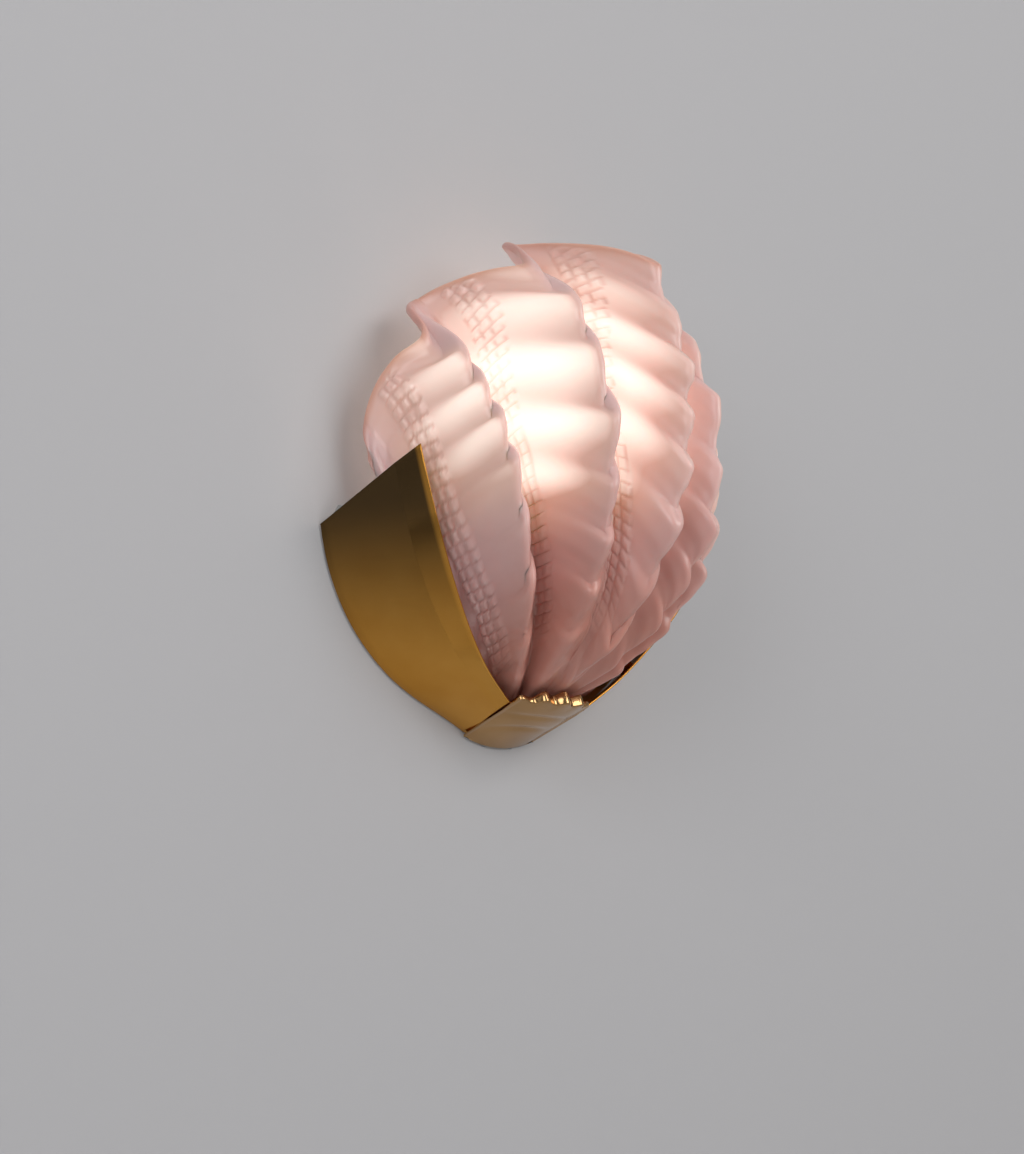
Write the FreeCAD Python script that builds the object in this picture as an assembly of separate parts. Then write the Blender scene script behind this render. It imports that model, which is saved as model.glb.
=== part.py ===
import FreeCAD, Part
import math
import os

from FreeCAD import Vector as V

os.makedirs("parts", exist_ok=True)

# Shell wall sconce: a ribbed, ruffled half shell of satin glass stands in a brass frame of two curved
# cheeks on a back plate, closed below by a cast scallop toe. A screw-base lamp burns upright inside.
#
# Frame: millimetres, X to the right along the wall, Z up, the wall is the plane Y = 0 and the light
# stands in front of it at negative Y. The origin is midway between the two wall fixing holes, at the
# back of the plate.
# Points below are written as (x, d, h): x sideways, d out from the wall, h up from the lowest point of
# the toe at the wall, which is the way the piece is measured on a bench.

# ---- driving dimensions ----------------------------------------------------------------------------
FOOT_H = -95.0            # height of the toe's lowest point in the frame
GLASS_T = 3.4             # glass wall
SHEET_T = 1.2             # brass sheet of the cheeks
PLATE_T = 1.5             # back plate sheet
CREASE = 0.76             # place of the cheek's fold, from wall (0) to front edge (1)
CREASE_OUT = 1.3          # how far the fold stands out of the straight line
TAB_LENGTH = 14.0         # feet of the cheeks, inwards from their wall edge
TAB_STATIONS = (2, 4, 6)  # points of CHEEK_WALL that carry a foot
TAB_SCREW_R = 1.5
TAB_W, TAB_HOLE = 11.0, 4.5   # width of a foot; its hole, in from its end
CHEEK_ROWS = 28           # facet rows along a cheek
SCREW_SIDES = 12          # flat sides of screws and of the holes that they sit in

LAMP_D = 48.5             # lamp axis, out from the wall
ARM_H = 70.0              # top of the lamp bracket's arm, up from the toe
FIXING_X = 45.0           # wall fixing holes either side of the middle
FIXING_R = 2.75
CABLE_R = 7.0             # cable entry hole in the back plate
CABLE_H = 95.0            # height of the cable entry above the toe

# Rib lines of the glass, from the middle outwards: crest, valley, crest, ... and the edge by the wall.
# Each line is one cubic curve: a start on the small ring at the bottom, two handles and its rim point.
RIB_LINES = [
    # lower handle          upper handle           rim point
    ((0.0, 202.0, 55.0), (0.0, 162.0, 196.0), (0.0, 132.0, 256.0)),
    ((22.0, 185.0, 58.0), (20.0, 95.0, 213.0), (25.0, 28.0, 281.0)),
    ((63.0, 204.0, 63.0), (32.0, 146.0, 226.0), (46.0, 72.0, 257.0)),
    ((48.0, 126.0, 55.0), (52.0, 53.0, 204.0), (80.0, 12.5, 239.0)),
    ((97.0, 167.0, 57.0), (73.0, 94.0, 200.0), (96.0, 47.0, 216.0)),
    ((45.0, 62.0, 33.0), (92.0, 62.0, 106.0), (115.0, 14.5, 168.5)),
    ((55.0, 48.0, 24.0), (91.0, 50.0, 76.0), (103.0, 33.0, 120.0)),
    ((45.0, 12.0, 14.0), (90.0, 5.0, 50.0), (98.0, 3.6, 100.0)),
]
GLASS_ROWS = 18           # facet rows from the bottom to the rim
FOLD_HALF = 0.36          # half the width of a fold's round, in steps from crest to mid-flank
GLASS_LEVELS = [0.0, 0.07, 0.16, 0.27, 0.4, 0.54, 0.68, 0.8, 0.91, 1.0]
START_D, START_H, START_R = 6.0, 12.0, 5.0

# Edges of a cheek, (x, d, h), from the toe up to the free top edge.
CHEEK_WALL = [(24.0, 0.8, 3.0), (37.0, 0.8, 9.8), (50.0, 0.8, 15.0), (77.0, 0.8, 27.5),
              (100.0, 0.8, 48.0), (115.0, 0.8, 69.0), (124.0, 0.8, 91.0), (127.0, 0.8, 108.5)]
CHEEK_FRONT = [(28.5, 41.8, 17.2), (39.0, 44.3, 25.0), (50.0, 47.3, 33.0), (70.0, 54.8, 55.5),
               (85.5, 61.9, 76.0), (99.0, 65.5, 102.0), (106.5, 64.5, 129.0), (109.5, 62.7, 145.0)]

# Right edge of the back plate: the ends and middles of three arcs along the cheek's wall edge.
PLATE_EDGE = [(24.0, 0.0, 3.0), (44.0, 0.0, 12.2), (64.0, 0.0, 21.0), (84.0, 0.0, 34.0), (101.0, 0.0, 51.0),
              (115.0, 0.0, 72.0), (123.8, 0.0, 103.0)]
TONGUE = [(-23.0, 10.0), (-21.0, 2.0), (-12.0, -2.4), (12.0, -2.4), (21.0, 2.0), (23.0, 10.0)]

# Toe: a fan-shaped casting that rises from the wall to a front edge of five lobes.
TOE_SLOPE = 19.5          # degrees above level
TOE_LENGTH = 45.0         # wall to the corners of the fluted front edge, along the slope
TOE_BULGE = 14.0          # how far the fluted edge bows out beyond its corners
TOE_BACK_W, TOE_FRONT_W = 52.0, 62.0
TOE_T = 6.0
TOE_TOP_H = 2.0           # top of the toe at the wall
TOE_LOBES = 5
TOE_SCREW_X, TOE_SCREW_H = 10.0, -0.6
TOE_SCREW_R, TOE_HEAD_R = 1.28, 2.8
TOE_GROOVES = (26.0, 40.0)   # inner radii of the ring grooves, from the middle of the wall edge
TOE_CROWN_R = 62.0        # roundness of the underside, seen from the front

# Lamp bracket, terminal block and earth tag.
ARM_W, ARM_T = 18.0, 2.0
LEG_FOOT_H = 40.0
LEG_SCREWS_H = (46.0, 58.0)
LEG_SCREW_R = 2.0
BLOCK_X, BLOCK_H = -32.0, 70.0
POD_PITCH, INSERT_HALF = 9.0, 5.5
GRUB_STEPS = (-3.2, 3.2)
EARTH_X, EARTH_H, TAG_T = -22.0, 92.0, 0.8
GROMMET_BORE = 4.5

# Lamp and lampholder, heights above the arm of the lamp bracket.
BULB_R = 27.5
BULB_MID = 103.0          # middle of the round part of the bulb
CAP_R, CAP_BASE, CAP_TOP = 13.1, 18.0, 40.0
SLEEVE_GAP = 0.5          # between the cap and the threaded sleeve
WELL_FLOOR = 14.0
NUT_R, NUT_T, WASHER_T = 8.1, 4.0, 0.8
HOLDER_R, HOLDER_TOP = 19.0, 38.0
NIPPLE_R, NIPPLE_BORE = 5.0, 3.4

FORWARD = V(0, -1, 0)


def at(x, d, h):
    """Point in the frame from sideways, out-from-wall and up-from-toe measures."""
    return V(x, -d, h + FOOT_H)


def cyl(x, d, h, r, length, axis=V(0, 0, 1)):
    """Cylinder that starts at a point and runs along an axis."""
    return Part.makeCylinder(r, length, at(x, d, h), axis)


def facet_solid(triangles):
    """Solid bounded by flat triangles, each a triple of points; triangles without area drop out."""
    index, points, facets = {}, [], []
    for triangle in triangles:
        corners = []
        for p in triangle:
            key = (round(p.x, 5), round(p.y, 5), round(p.z, 5))
            if key not in index:
                index[key] = len(points)
                points.append(p)
            corners.append(index[key])
        if len(set(corners)) == 3:
            facets.append(tuple(corners))
    skin = Part.Shape()
    skin.makeShapeFromMesh((points, facets), 0.001)
    solid = Part.makeSolid(skin)
    if solid.Volume < 0:
        solid.reverse()
    return solid


def quad(a, b, c, d):
    return [(a, b, c), (a, c, d)]


def block(x0, x1, d0, d1, h0, h1):
    """Box between two corners."""
    return Part.makeBox(x1 - x0, d1 - d0, h1 - h0, at(x0, d1, h0))


def mirror_x(shape):
    return shape.mirror(V(0, 0, 0), V(1, 0, 0))


def turned(profile, sides=32):
    """Turned piece on the upright axis through the origin; its fine flat sides keep the mesh light."""
    turns = [2 * math.pi * i / sides for i in range(sides)] + [0.0]
    triangles = []
    for (r0, z0), (r1, z1) in zip(profile, profile[1:] + profile[:1]):
        for a, b in zip(turns, turns[1:]):
            triangles += quad(V(r0 * math.cos(a), r0 * math.sin(a), z0), V(r0 * math.cos(b), r0 * math.sin(b), z0),
                              V(r1 * math.cos(b), r1 * math.sin(b), z1), V(r1 * math.cos(a), r1 * math.sin(a), z1))
    return facet_solid(triangles).removeSplitter()


def tube(r_out, r_in, z0, z1, sides=32):
    """Tube or washer, turned."""
    return turned([(r_in, z0), (r_out, z0), (r_out, z1), (r_in, z1)], sides)


def forward(shape, place):
    """Turn an upright shape to point out from the wall and set it at a place."""
    shape.rotate(V(0, 0, 0), V(1, 0, 0), 90)
    return shape.translated(place)


def bore(place, radius, length):
    """Cutter for a small hole that runs out from the wall."""
    return forward(turned([(0, 0), (radius, 0), (radius, length), (0, length)], SCREW_SIDES), place)


def compound(shapes):
    return Part.makeCompound(shapes)


def save(name, shape):
    """Write one named piece."""
    shape.exportStep(os.path.join("parts", name + ".step"))
    print("%-20s solids %2d  volume %9.0f  valid %s" % (
        name, len(shape.Solids), shape.Volume, shape.isValid()))


# ---- sheets built from a net of control points ----------------------------------------------------
def clamped_knots(count, degree):
    """Knots and multiplicities of a clamped uniform spline with this many poles."""
    inner = count - degree - 1
    knots = [float(i) for i in range(inner + 2)]
    mults = [degree + 1] + [1] * inner + [degree + 1]
    return knots, mults


def spline_surface(net, degree_u=3, degree_v=3):
    surface = Part.BSplineSurface()
    knots_u, mults_u = clamped_knots(len(net), degree_u)
    knots_v, mults_v = clamped_knots(len(net[0]), degree_v)
    surface.buildFromPolesMultsKnots(net, mults_u, mults_v, knots_u, knots_v,
                                     False, False, degree_u, degree_v)
    return surface


def faceted_wall(outer, inner):
    """Closed wall between two grids of points of the same size."""
    rows, cols = len(outer), len(outer[0])
    triangles = []
    for i in range(rows - 1):
        for j in range(cols - 1):
            triangles += quad(outer[i][j], outer[i][j + 1], outer[i + 1][j + 1], outer[i + 1][j])
            triangles += quad(inner[i + 1][j], inner[i + 1][j + 1], inner[i][j + 1], inner[i][j])
    border = [(0, j) for j in range(cols)] + [(i, cols - 1) for i in range(1, rows)]
    border += [(rows - 1, j) for j in range(cols - 2, -1, -1)] + [(i, 0) for i in range(rows - 2, 0, -1)]
    for (i, j), (k, m) in zip(border, border[1:] + border[:1]):
        triangles += quad(outer[k][m], outer[i][j], inner[i][j], inner[k][m])
    return facet_solid(triangles)


# ---- glass ---------------------------------------------------------------------------------------
def cubic(p0, p1, p2, p3, t):
    weights = ((1 - t) ** 3, 3 * (1 - t) ** 2 * t, 3 * (1 - t) * t * t, t ** 3)
    return tuple(sum(w * p[k] for w, p in zip(weights, (p0, p1, p2, p3))) for k in range(3))


def rib_point(index, t):
    """Point of a rib line; the left half has negative indices."""
    side = -1.0 if index < 0 else 1.0
    lower, upper, rim = RIB_LINES[abs(index)]
    turn = math.radians(90.0 * abs(index) / (len(RIB_LINES) - 1))
    start = (START_R * math.sin(turn), START_D + START_R * math.cos(turn), START_H)
    x, d, h = cubic(start, lower, upper, rim, t)
    return at(side * x, d, h)


def glass_net():
    """Control net of the middle of the glass: one row for each level, crests and valleys in turn."""
    last = len(RIB_LINES) - 1
    net = []
    for t in GLASS_LEVELS:
        peaks = [rib_point(i, t) for i in range(-last, last + 1)]
        middles = [(a + b) * 0.5 for a, b in zip(peaks, peaks[1:])]
        row = [peaks[0]]
        for i in range(1, len(peaks) - 1):
            row.append(middles[i - 1])
            row.append((peaks[i] * 6 - middles[i - 1] - middles[i]) * 0.25)
        row += [middles[-1], peaks[-1]]
        net.append(row)
    return net


def glass_stations():
    """Spline parameters of the facet lines: close together round each fold, wide on the flanks."""
    last = 4 * (len(RIB_LINES) - 1) - 2
    across = [0.0]
    for fold in range(1, last, 2):
        across += [fold - FOLD_HALF, float(fold), fold + FOLD_HALF, fold + 1.0]
    across[-1] = float(last)
    rows = len(GLASS_LEVELS) - 3
    along = [rows * i / GLASS_ROWS for i in range(GLASS_ROWS + 1)]
    return along, across


def glass_shade():
    """Faceted wall of even thickness on both sides of the middle surface."""
    middle = spline_surface(glass_net())
    along, across = glass_stations()
    faces = []
    for side in (0.5, -0.5):
        faces.append([[middle.value(u, v) + middle.normal(u, v) * (GLASS_T * side) for v in across]
                      for u in along])
    return faceted_wall(*faces)


# ---- brass frame -----------------------------------------------------------------------------------
def cheek_nets():
    """Outer control points of the two strips of a right cheek, wall to fold and fold to front edge."""
    wall, fold, front = [], [], []
    for a, b in zip(CHEEK_WALL, CHEEK_FRONT):
        wall.append(at(*a))
        front.append(at(*b))
        chord = front[-1] - wall[-1]
        outward = V(0, 0, 0) + V(-chord.y, 0, 0)
        outward.z = -abs(chord.y) * 0.25
        fold.append(wall[-1] + chord * CREASE + outward.normalize() * CREASE_OUT)
    return wall, fold, front


def cheek_tab(station):
    """Small foot of a right cheek that lies on the back plate, with its screw hole; and the hole's place."""
    x, d, h = CHEEK_WALL[station]
    before, after = CHEEK_WALL[station - 1], CHEEK_WALL[station + 1]
    slope = math.degrees(math.atan2(after[2] - before[2], after[0] - before[0]))
    tab = Part.makeBox(TAB_W, SHEET_T, TAB_LENGTH, V(-TAB_W / 2, -PLATE_T - SHEET_T, 0.4))
    hole = V(0, 0, TAB_LENGTH - TAB_HOLE)
    tab = tab.cut(bore(V(0, 2, hole.z), TAB_SCREW_R + 0.2, 9.0))
    turn = FreeCAD.Rotation(V(0, 1, 0), -slope)
    tab.Placement = FreeCAD.Placement(at(x, 0, h), turn)
    return tab, at(x, 0, h) + turn.multVec(hole)


def sheet_grid(lines):
    """Points on the sheet that runs straight from line to line and curves along them."""
    surface = spline_surface(lines, 1, 3)
    last = len(lines[0]) - 3.0
    return [[surface.value(float(k), last * i / CHEEK_ROWS) for k in range(len(lines))]
            for i in range(CHEEK_ROWS + 1)]


def cheek(side):
    """Brass sheet from the wall to its front edge, folded slightly along a line, with feet inside."""
    wall, fold, front = cheek_nets()
    outer = [wall, fold, front]
    inner = []
    for line in outer:
        moved = []
        for i, p in enumerate(line):
            along = line[min(i + 1, len(line) - 1)] - line[max(i - 1, 0)]
            normal = (front[i] - wall[i]).cross(along).normalize()
            if normal.x > 0:
                normal = normal * -1
            moved.append(p + normal * SHEET_T)
        inner.append(moved)
    shape = faceted_wall(sheet_grid(outer), sheet_grid(inner))
    for station in TAB_STATIONS:
        shape = shape.fuse(cheek_tab(station)[0])
    return shape if side > 0 else mirror_x(shape)


def cheek_screw_places():
    right = [cheek_tab(station)[1] for station in TAB_STATIONS]
    return right + [V(-p.x, p.y, p.z) for p in right]


def pan_screw(place, head_d, radius, length, head_r, head_t):
    """Pan-head screw square to the wall; head_d is where the head's seat lies, out from the wall."""
    profile = [(0, -length), (radius, -length), (radius, 0), (head_r, 0), (head_r, head_t * 0.55),
               (head_r * 0.72, head_t), (0, head_t)]
    return forward(turned(profile, SCREW_SIDES), V(place.x, -head_d, place.z))


def cheek_screws():
    seat = PLATE_T + SHEET_T
    return compound([pan_screw(p, seat, TAB_SCREW_R, seat - 0.2, 3.4, 2.0) for p in cheek_screw_places()])


def toe_outline():
    """Fan outline in the toe's own plane: y runs out from the wall, five arcs form the front edge."""
    half_back, half_front = TOE_BACK_W / 2, TOE_FRONT_W / 2
    radius = (half_front ** 2 + TOE_BULGE ** 2) / (2 * TOE_BULGE)
    centre = TOE_LENGTH + TOE_BULGE - radius
    sweep = math.asin(half_front / radius)
    knots = []
    for i in range(TOE_LOBES + 1):
        a = -sweep + 2 * sweep * i / TOE_LOBES
        knots.append((radius * math.sin(a), centre + radius * math.cos(a)))
    edges = [Part.makeLine(V(-half_back, 4, 0), V(knots[0][0], -knots[0][1], 0))]
    for i in range(TOE_LOBES):
        (xa, ya), (xb, yb) = knots[i], knots[i + 1]
        a = -sweep + 2 * sweep * (i + 0.5) / TOE_LOBES
        crest = radius + 1.6
        mid = (crest * math.sin(a), centre + crest * math.cos(a))
        edges.append(Part.Arc(V(xa, -ya, 0), V(mid[0], -mid[1], 0), V(xb, -yb, 0)).toShape())
    edges.append(Part.makeLine(V(knots[-1][0], -knots[-1][1], 0), V(half_back, 4, 0)))
    edges.append(Part.makeLine(V(half_back, 4, 0), V(-half_back, 4, 0)))
    return Part.Wire(edges)


def toe_casting():
    """Scallop toe: crowned below, flat above, lobed front edge, two ring grooves on its underside."""
    along = V(0, -1, 0)
    plate = Part.Face(toe_outline()).extrude(V(0, 0, 3 * TOE_T))
    plate.translate(V(0, 0, -3 * TOE_T))
    crown = Part.makeCylinder(TOE_CROWN_R, 100, V(0, 10, TOE_CROWN_R - TOE_T), along)
    core = Part.makeCylinder(TOE_CROWN_R - 0.9, 100, V(0, 10, TOE_CROWN_R - TOE_T), along)
    body = plate.common(crown)
    for radius in TOE_GROOVES:
        band = Part.makeCylinder(radius + 1.5, 40, V(0, 0, -30))
        band = band.cut(Part.makeCylinder(radius, 40, V(0, 0, -30)))
        body = body.cut(band.cut(core))
    body.rotate(V(0, 0, 0), V(1, 0, 0), -TOE_SLOPE)
    body.translate(at(0, 0, TOE_TOP_H))
    body = body.cut(Part.makeBox(200, 100, 200, V(-100, -PLATE_T, -200)))
    for x in (-TOE_SCREW_X, TOE_SCREW_X):
        body = body.cut(bore(at(x, PLATE_T - 0.5, TOE_SCREW_H), TOE_SCREW_R + 0.03, 9.0))
    return body


def plate_outline():
    """Back plate outline: three arcs a side inside the cheeks' wall edges, with a level top edge."""
    inset = SHEET_T + 0.6
    corners = [at(x - inset, 0, h + 2.4) for x, d, h in PLATE_EDGE]
    right = [Part.Arc(*corners[i:i + 3]).toShape() for i in (0, 2, 4)]
    left = [mirror_x(edge) for edge in right]
    ends = [(corners[0], V(-corners[0].x, corners[0].y, corners[0].z)),
            (corners[-1], V(-corners[-1].x, corners[-1].y, corners[-1].z))]
    edges = right + left + [Part.makeLine(a, b) for a, b in ends]
    return Part.Wire(Part.__sortEdges__(edges))


def back_plate():
    """Flat plate behind the light: wall fixing holes, cable hole, screw holes and a tongue for the toe."""
    corners = [at(x, 0, h) for x, h in TONGUE]
    plate = Part.Face(plate_outline()).extrude(FORWARD * PLATE_T)
    plate = plate.fuse(Part.Face(Part.makePolygon(corners + corners[:1])).extrude(FORWARD * PLATE_T))
    for place, radius in [(at(-FIXING_X, 0, -FOOT_H), FIXING_R), (at(FIXING_X, 0, -FOOT_H), FIXING_R),
                          (at(0, 0, CABLE_H), CABLE_R)]:
        plate = plate.cut(Part.makeCylinder(radius, 5, place - FORWARD, FORWARD))
    small = [(p, TAB_SCREW_R + 0.05) for p in cheek_screw_places()]
    small += [(at(0, 0, h), LEG_SCREW_R + 0.05) for h in LEG_SCREWS_H]
    small += [(at(EARTH_X, 0, EARTH_H), LEG_SCREW_R + 0.05)]
    for place, radius in small:
        plate = plate.cut(bore(V(place.x, 1, place.z), radius, 5.0))
    sink = [(0, -1), (TOE_HEAD_R + 0.2, -1), (TOE_HEAD_R + 0.2, 0.1), (TOE_SCREW_R + 0.1, PLATE_T - 0.1),
            (TOE_SCREW_R + 0.1, 3.0), (0, 3.0)]
    for x in (-TOE_SCREW_X, TOE_SCREW_X):
        plate = plate.cut(forward(turned(sink, SCREW_SIDES), at(x, 0, TOE_SCREW_H)))
    return plate.removeSplitter()


def toe_screws():
    """Countersunk screws from behind through the plate's tongue into the toe."""
    profile = [(0, 0.1), (TOE_HEAD_R, 0.1), (TOE_SCREW_R, PLATE_T - 0.2), (TOE_SCREW_R, 8.0), (0, 8.0)]
    return compound([forward(turned(profile, SCREW_SIDES), at(x, 0, TOE_SCREW_H))
                     for x in (-TOE_SCREW_X, TOE_SCREW_X)])


# ---- lamp bracket and lampholder -------------------------------------------------------------------
def lamp_bracket():
    """Angle of steel strip: a leg screwed to the plate, an arm that carries the lampholder."""
    half, sheet = ARM_W / 2, ARM_T
    leg = block(-half, half, PLATE_T, PLATE_T + sheet, LEG_FOOT_H, ARM_H)
    arm = block(-half, half, PLATE_T, LAMP_D, ARM_H - sheet, ARM_H)
    tip = cyl(0, LAMP_D, ARM_H - sheet, half, sheet)
    inside, reach = PLATE_T + sheet, 6.0
    corners = [at(-half, inside, ARM_H - sheet - reach), at(-half, inside, ARM_H - sheet),
               at(-half, inside + reach, ARM_H - sheet)]
    gusset = Part.Face(Part.makePolygon(corners + corners[:1])).extrude(V(sheet, 0, 0))
    shape = leg.fuse([arm, tip, gusset, gusset.translated(V(ARM_W - sheet, 0, 0))]).removeSplitter()
    for h in LEG_SCREWS_H:
        shape = shape.cut(bore(at(0, 0, h), LEG_SCREW_R + 0.2, 9.0))
    hole = turned([(0, -4), (NIPPLE_R + 0.1, -4), (NIPPLE_R + 0.1, 4), (0, 4)])
    return shape.cut(hole.translated(at(0, LAMP_D, ARM_H)))


def bracket_screws():
    seat = PLATE_T + ARM_T
    return compound([pan_screw(at(0, 0, h), seat, LEG_SCREW_R, seat - 0.2, 3.8, 2.4) for h in LEG_SCREWS_H])


def on_arm(shape, lift=0.0):
    """Set a piece made at the origin on the lamp axis, at the top of the arm or above it."""
    return shape.translated(at(0, LAMP_D, ARM_H + lift))


def nipple():
    return on_arm(tube(NIPPLE_R, NIPPLE_BORE, -8.0, 9.0))


def nipple_nut():
    """Hexagon nut under the arm, on the lock washer."""
    nut = turned([(0, 0), (NUT_R, 0), (NUT_R, NUT_T), (0, NUT_T)], 6)
    nut = nut.cut(turned([(0, -1), (NIPPLE_R + 0.05, -1), (NIPPLE_R + 0.05, NUT_T + 1), (0, NUT_T + 1)]))
    return on_arm(nut, -ARM_T - WASHER_T - NUT_T)


def lock_washer():
    return on_arm(tube(8.5, NIPPLE_R + 0.1, -ARM_T - WASHER_T, -ARM_T, 24))


def holder_cup():
    """Turned brass cup under the lampholder."""
    return on_arm(turned([(NIPPLE_R + 0.1, 0.0), (15.0, 0.0), (20.5, 5.0), (20.5, 12.0), (19.3, 12.0),
                          (19.3, 5.6), (14.4, 1.2), (NIPPLE_R + 0.1, 1.2)]))


def holder_body():
    """Porcelain body: stepped outside, with a deep well for the threaded sleeve."""
    floor = WELL_FLOOR
    return on_arm(turned([(NIPPLE_R + 0.1, 1.2), (14.0, 1.2), (HOLDER_R, 5.8), (HOLDER_R, 30.0), (17.6, 32.0),
                          (17.6, HOLDER_TOP), (15.0, HOLDER_TOP), (15.0, floor), (NIPPLE_R + 0.1, floor)]))


def holder_sleeve():
    """Threaded brass sleeve that takes the lamp cap, with an inward lip at its foot."""
    inner = CAP_R + SLEEVE_GAP
    floor = WELL_FLOOR
    return on_arm(turned([(10.5, floor), (inner + 0.9, floor), (inner + 0.9, HOLDER_TOP - 1.0),
                          (inner, HOLDER_TOP - 1.0), (inner, floor + 0.6), (10.5, floor + 0.6)]))


def centre_contact():
    """Sprung centre contact: a strip that rises from the floor of the well to the middle."""
    side = [(-8.5, 0.0), (-6.0, 0.0), (-1.0, 2.2), (3.0, 2.2), (3.0, 2.7), (-1.3, 2.7), (-6.2, 0.5), (-8.5, 0.5)]
    corners = [at(x, LAMP_D - 3.0, ARM_H + 14.0 + h) for x, h in side]
    strip = Part.Face(Part.makePolygon(corners + corners[:1])).extrude(V(0, -6.0, 0))
    return strip


def bulb_cap():
    """Screw cap of the lamp, drawn in at its foot."""
    return on_arm(turned([(0.0, CAP_BASE + 1.6), (9.0, CAP_BASE + 1.6), (CAP_R - 0.9, CAP_BASE + 3.0),
                          (CAP_R, CAP_BASE + 5.0), (CAP_R, CAP_TOP), (0.0, CAP_TOP)]))


def bulb_contact():
    """Insulating button and tip contact at the foot of the cap."""
    return on_arm(turned([(0.0, CAP_BASE - 1.0), (3.4, CAP_BASE - 1.0), (5.0, CAP_BASE),
                          (9.0, CAP_BASE + 1.6), (0.0, CAP_BASE + 1.6)], 24))


def bulb_glass():
    """Pear-shaped frosted envelope: a neck that flares into a ball."""
    profile = [(0.0, CAP_TOP), (12.2, CAP_TOP), (13.6, CAP_TOP + 6.0), (17.4, CAP_TOP + 20.0),
               (23.6, CAP_TOP + 43.0)]
    for angle in range(-22, 90, 16):
        a = math.radians(angle)
        profile.append((BULB_R * math.cos(a), BULB_MID + BULB_R * math.sin(a)))
    profile.append((0.0, BULB_MID + BULB_R))
    return on_arm(turned(profile))


# ---- wiring ------------------------------------------------------------------------------------------
def wire_run(points, radius, bend):
    """Insulated conductor of eight flat sides, with each bend taken in short chords."""
    path = [at(*p) for p in points]
    spine = [path[0]]
    for before, corner, after in zip(path, path[1:], path[2:]):
        back = (before - corner).normalize()
        ahead = (after - corner).normalize()
        half = back.getAngle(ahead) / 2
        reach = bend / math.tan(half)
        middle = corner + (back + ahead).normalize() * (bend / math.sin(half) - bend)
        spine += [corner + back * reach, middle, corner + ahead * reach]
    spine.append(path[-1])
    turns = [math.pi * (i + 0.5) / 4 for i in range(9)]
    ring = Part.makePolygon([V(radius * math.cos(a), radius * math.sin(a), 0) for a in turns])
    ring.translate(path[0])
    return Part.Wire(Part.makePolygon(spine)).makePipeShell([ring], True, False, 1)


def supply_wire(x, side):
    """From the terminal block along the plate and arm, up into the nipple."""
    top = BLOCK_H - INSERT_HALF
    low = top - 11.0
    return wire_run([(x, 6.0, top), (x, 6.0, low), (side * 1.6, 30.0, low), (side * 1.6, LAMP_D, ARM_H - 18.0),
                     (side * 1.6, LAMP_D, ARM_H + 12.0)], 1.0, 3.0)


def earth_wire():
    """From the top of the block to the tag under the earth screw."""
    x, lying = BLOCK_X - POD_PITCH, PLATE_T + TAG_T + 0.93
    return wire_run([(x, 6.0, BLOCK_H + INSERT_HALF), (x, 6.0, BLOCK_H + 11.0),
                     (EARTH_X, lying, BLOCK_H + 11.0), (EARTH_X, lying, EARTH_H - 4.5)], 1.0, 1.4)


def terminal_block():
    """Moulded three-way block with openings for the conductors and wells for the screws."""
    shape = block(BLOCK_X - 15.0, BLOCK_X + 15.0, PLATE_T, PLATE_T + 4.0, BLOCK_H - 5.0, BLOCK_H + 5.0)
    slots = []
    for x in pod_places():
        shape = shape.fuse(block(x - 3.8, x + 3.8, PLATE_T, PLATE_T + 9.0, BLOCK_H - 6.5, BLOCK_H + 6.5))
        slots.append(block(x - 2.1, x + 2.1, 3.9, 8.1, BLOCK_H - 8.0, BLOCK_H + 8.0))
        slots += [bore(at(x, 8.0, BLOCK_H + h), 1.9, 4.0) for h in GRUB_STEPS]
    return shape.cut(slots).removeSplitter()


def pod_places():
    return [BLOCK_X + POD_PITCH * i for i in (-1, 0, 1)]


def terminal_inserts():
    return compound([block(x - 2.1, x + 2.1, 3.9, 8.1, BLOCK_H - INSERT_HALF, BLOCK_H + INSERT_HALF)
                     for x in pod_places()])


def terminal_screws():
    grub = [(0, 0), (1.7, 0), (1.7, 1.9), (0, 1.9)]
    return compound([forward(turned(grub, SCREW_SIDES), at(x, 8.1, BLOCK_H + h))
                     for x in pod_places() for h in GRUB_STEPS])


def cable_grommet():
    """Rubber grommet in the cable entry, grooved to sit on the edge of the plate."""
    place = at(0, 0, CABLE_H)
    shape = Part.makeCylinder(CABLE_R - 0.05, PLATE_T, place, FORWARD)
    shape = shape.fuse(Part.makeCylinder(CABLE_R + 2.2, 1.8, place + FORWARD * PLATE_T, FORWARD))
    return shape.cut(Part.makeCylinder(GROMMET_BORE, 9, place - FORWARD * 2, FORWARD)).removeSplitter()


def earth_screw():
    seat = PLATE_T + TAG_T
    return pan_screw(at(EARTH_X, 0, EARTH_H), seat, LEG_SCREW_R, seat - 0.2, 3.8, 2.4)


def earth_tag():
    """Ring tag under the earth screw, with a tongue for its wire."""
    eye = forward(tube(4.2, LEG_SCREW_R + 0.1, PLATE_T, PLATE_T + TAG_T, SCREW_SIDES), at(EARTH_X, 0, EARTH_H))
    stem = block(EARTH_X - 1.6, EARTH_X + 1.6, PLATE_T, PLATE_T + TAG_T, EARTH_H - 10.0, EARTH_H - 3.6)
    return eye.fuse(stem).removeSplitter()


def seat_pad():
    """Rubber pad on the toe that the foot of the glass stands on."""
    pad = Part.makeBox(26.0, 30.0, 1.4, V(-13.0, -48.0, 0.0))
    pad.rotate(V(0, 0, 0), V(1, 0, 0), -TOE_SLOPE)
    return pad.translated(at(0, 0, TOE_TOP_H))


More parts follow.
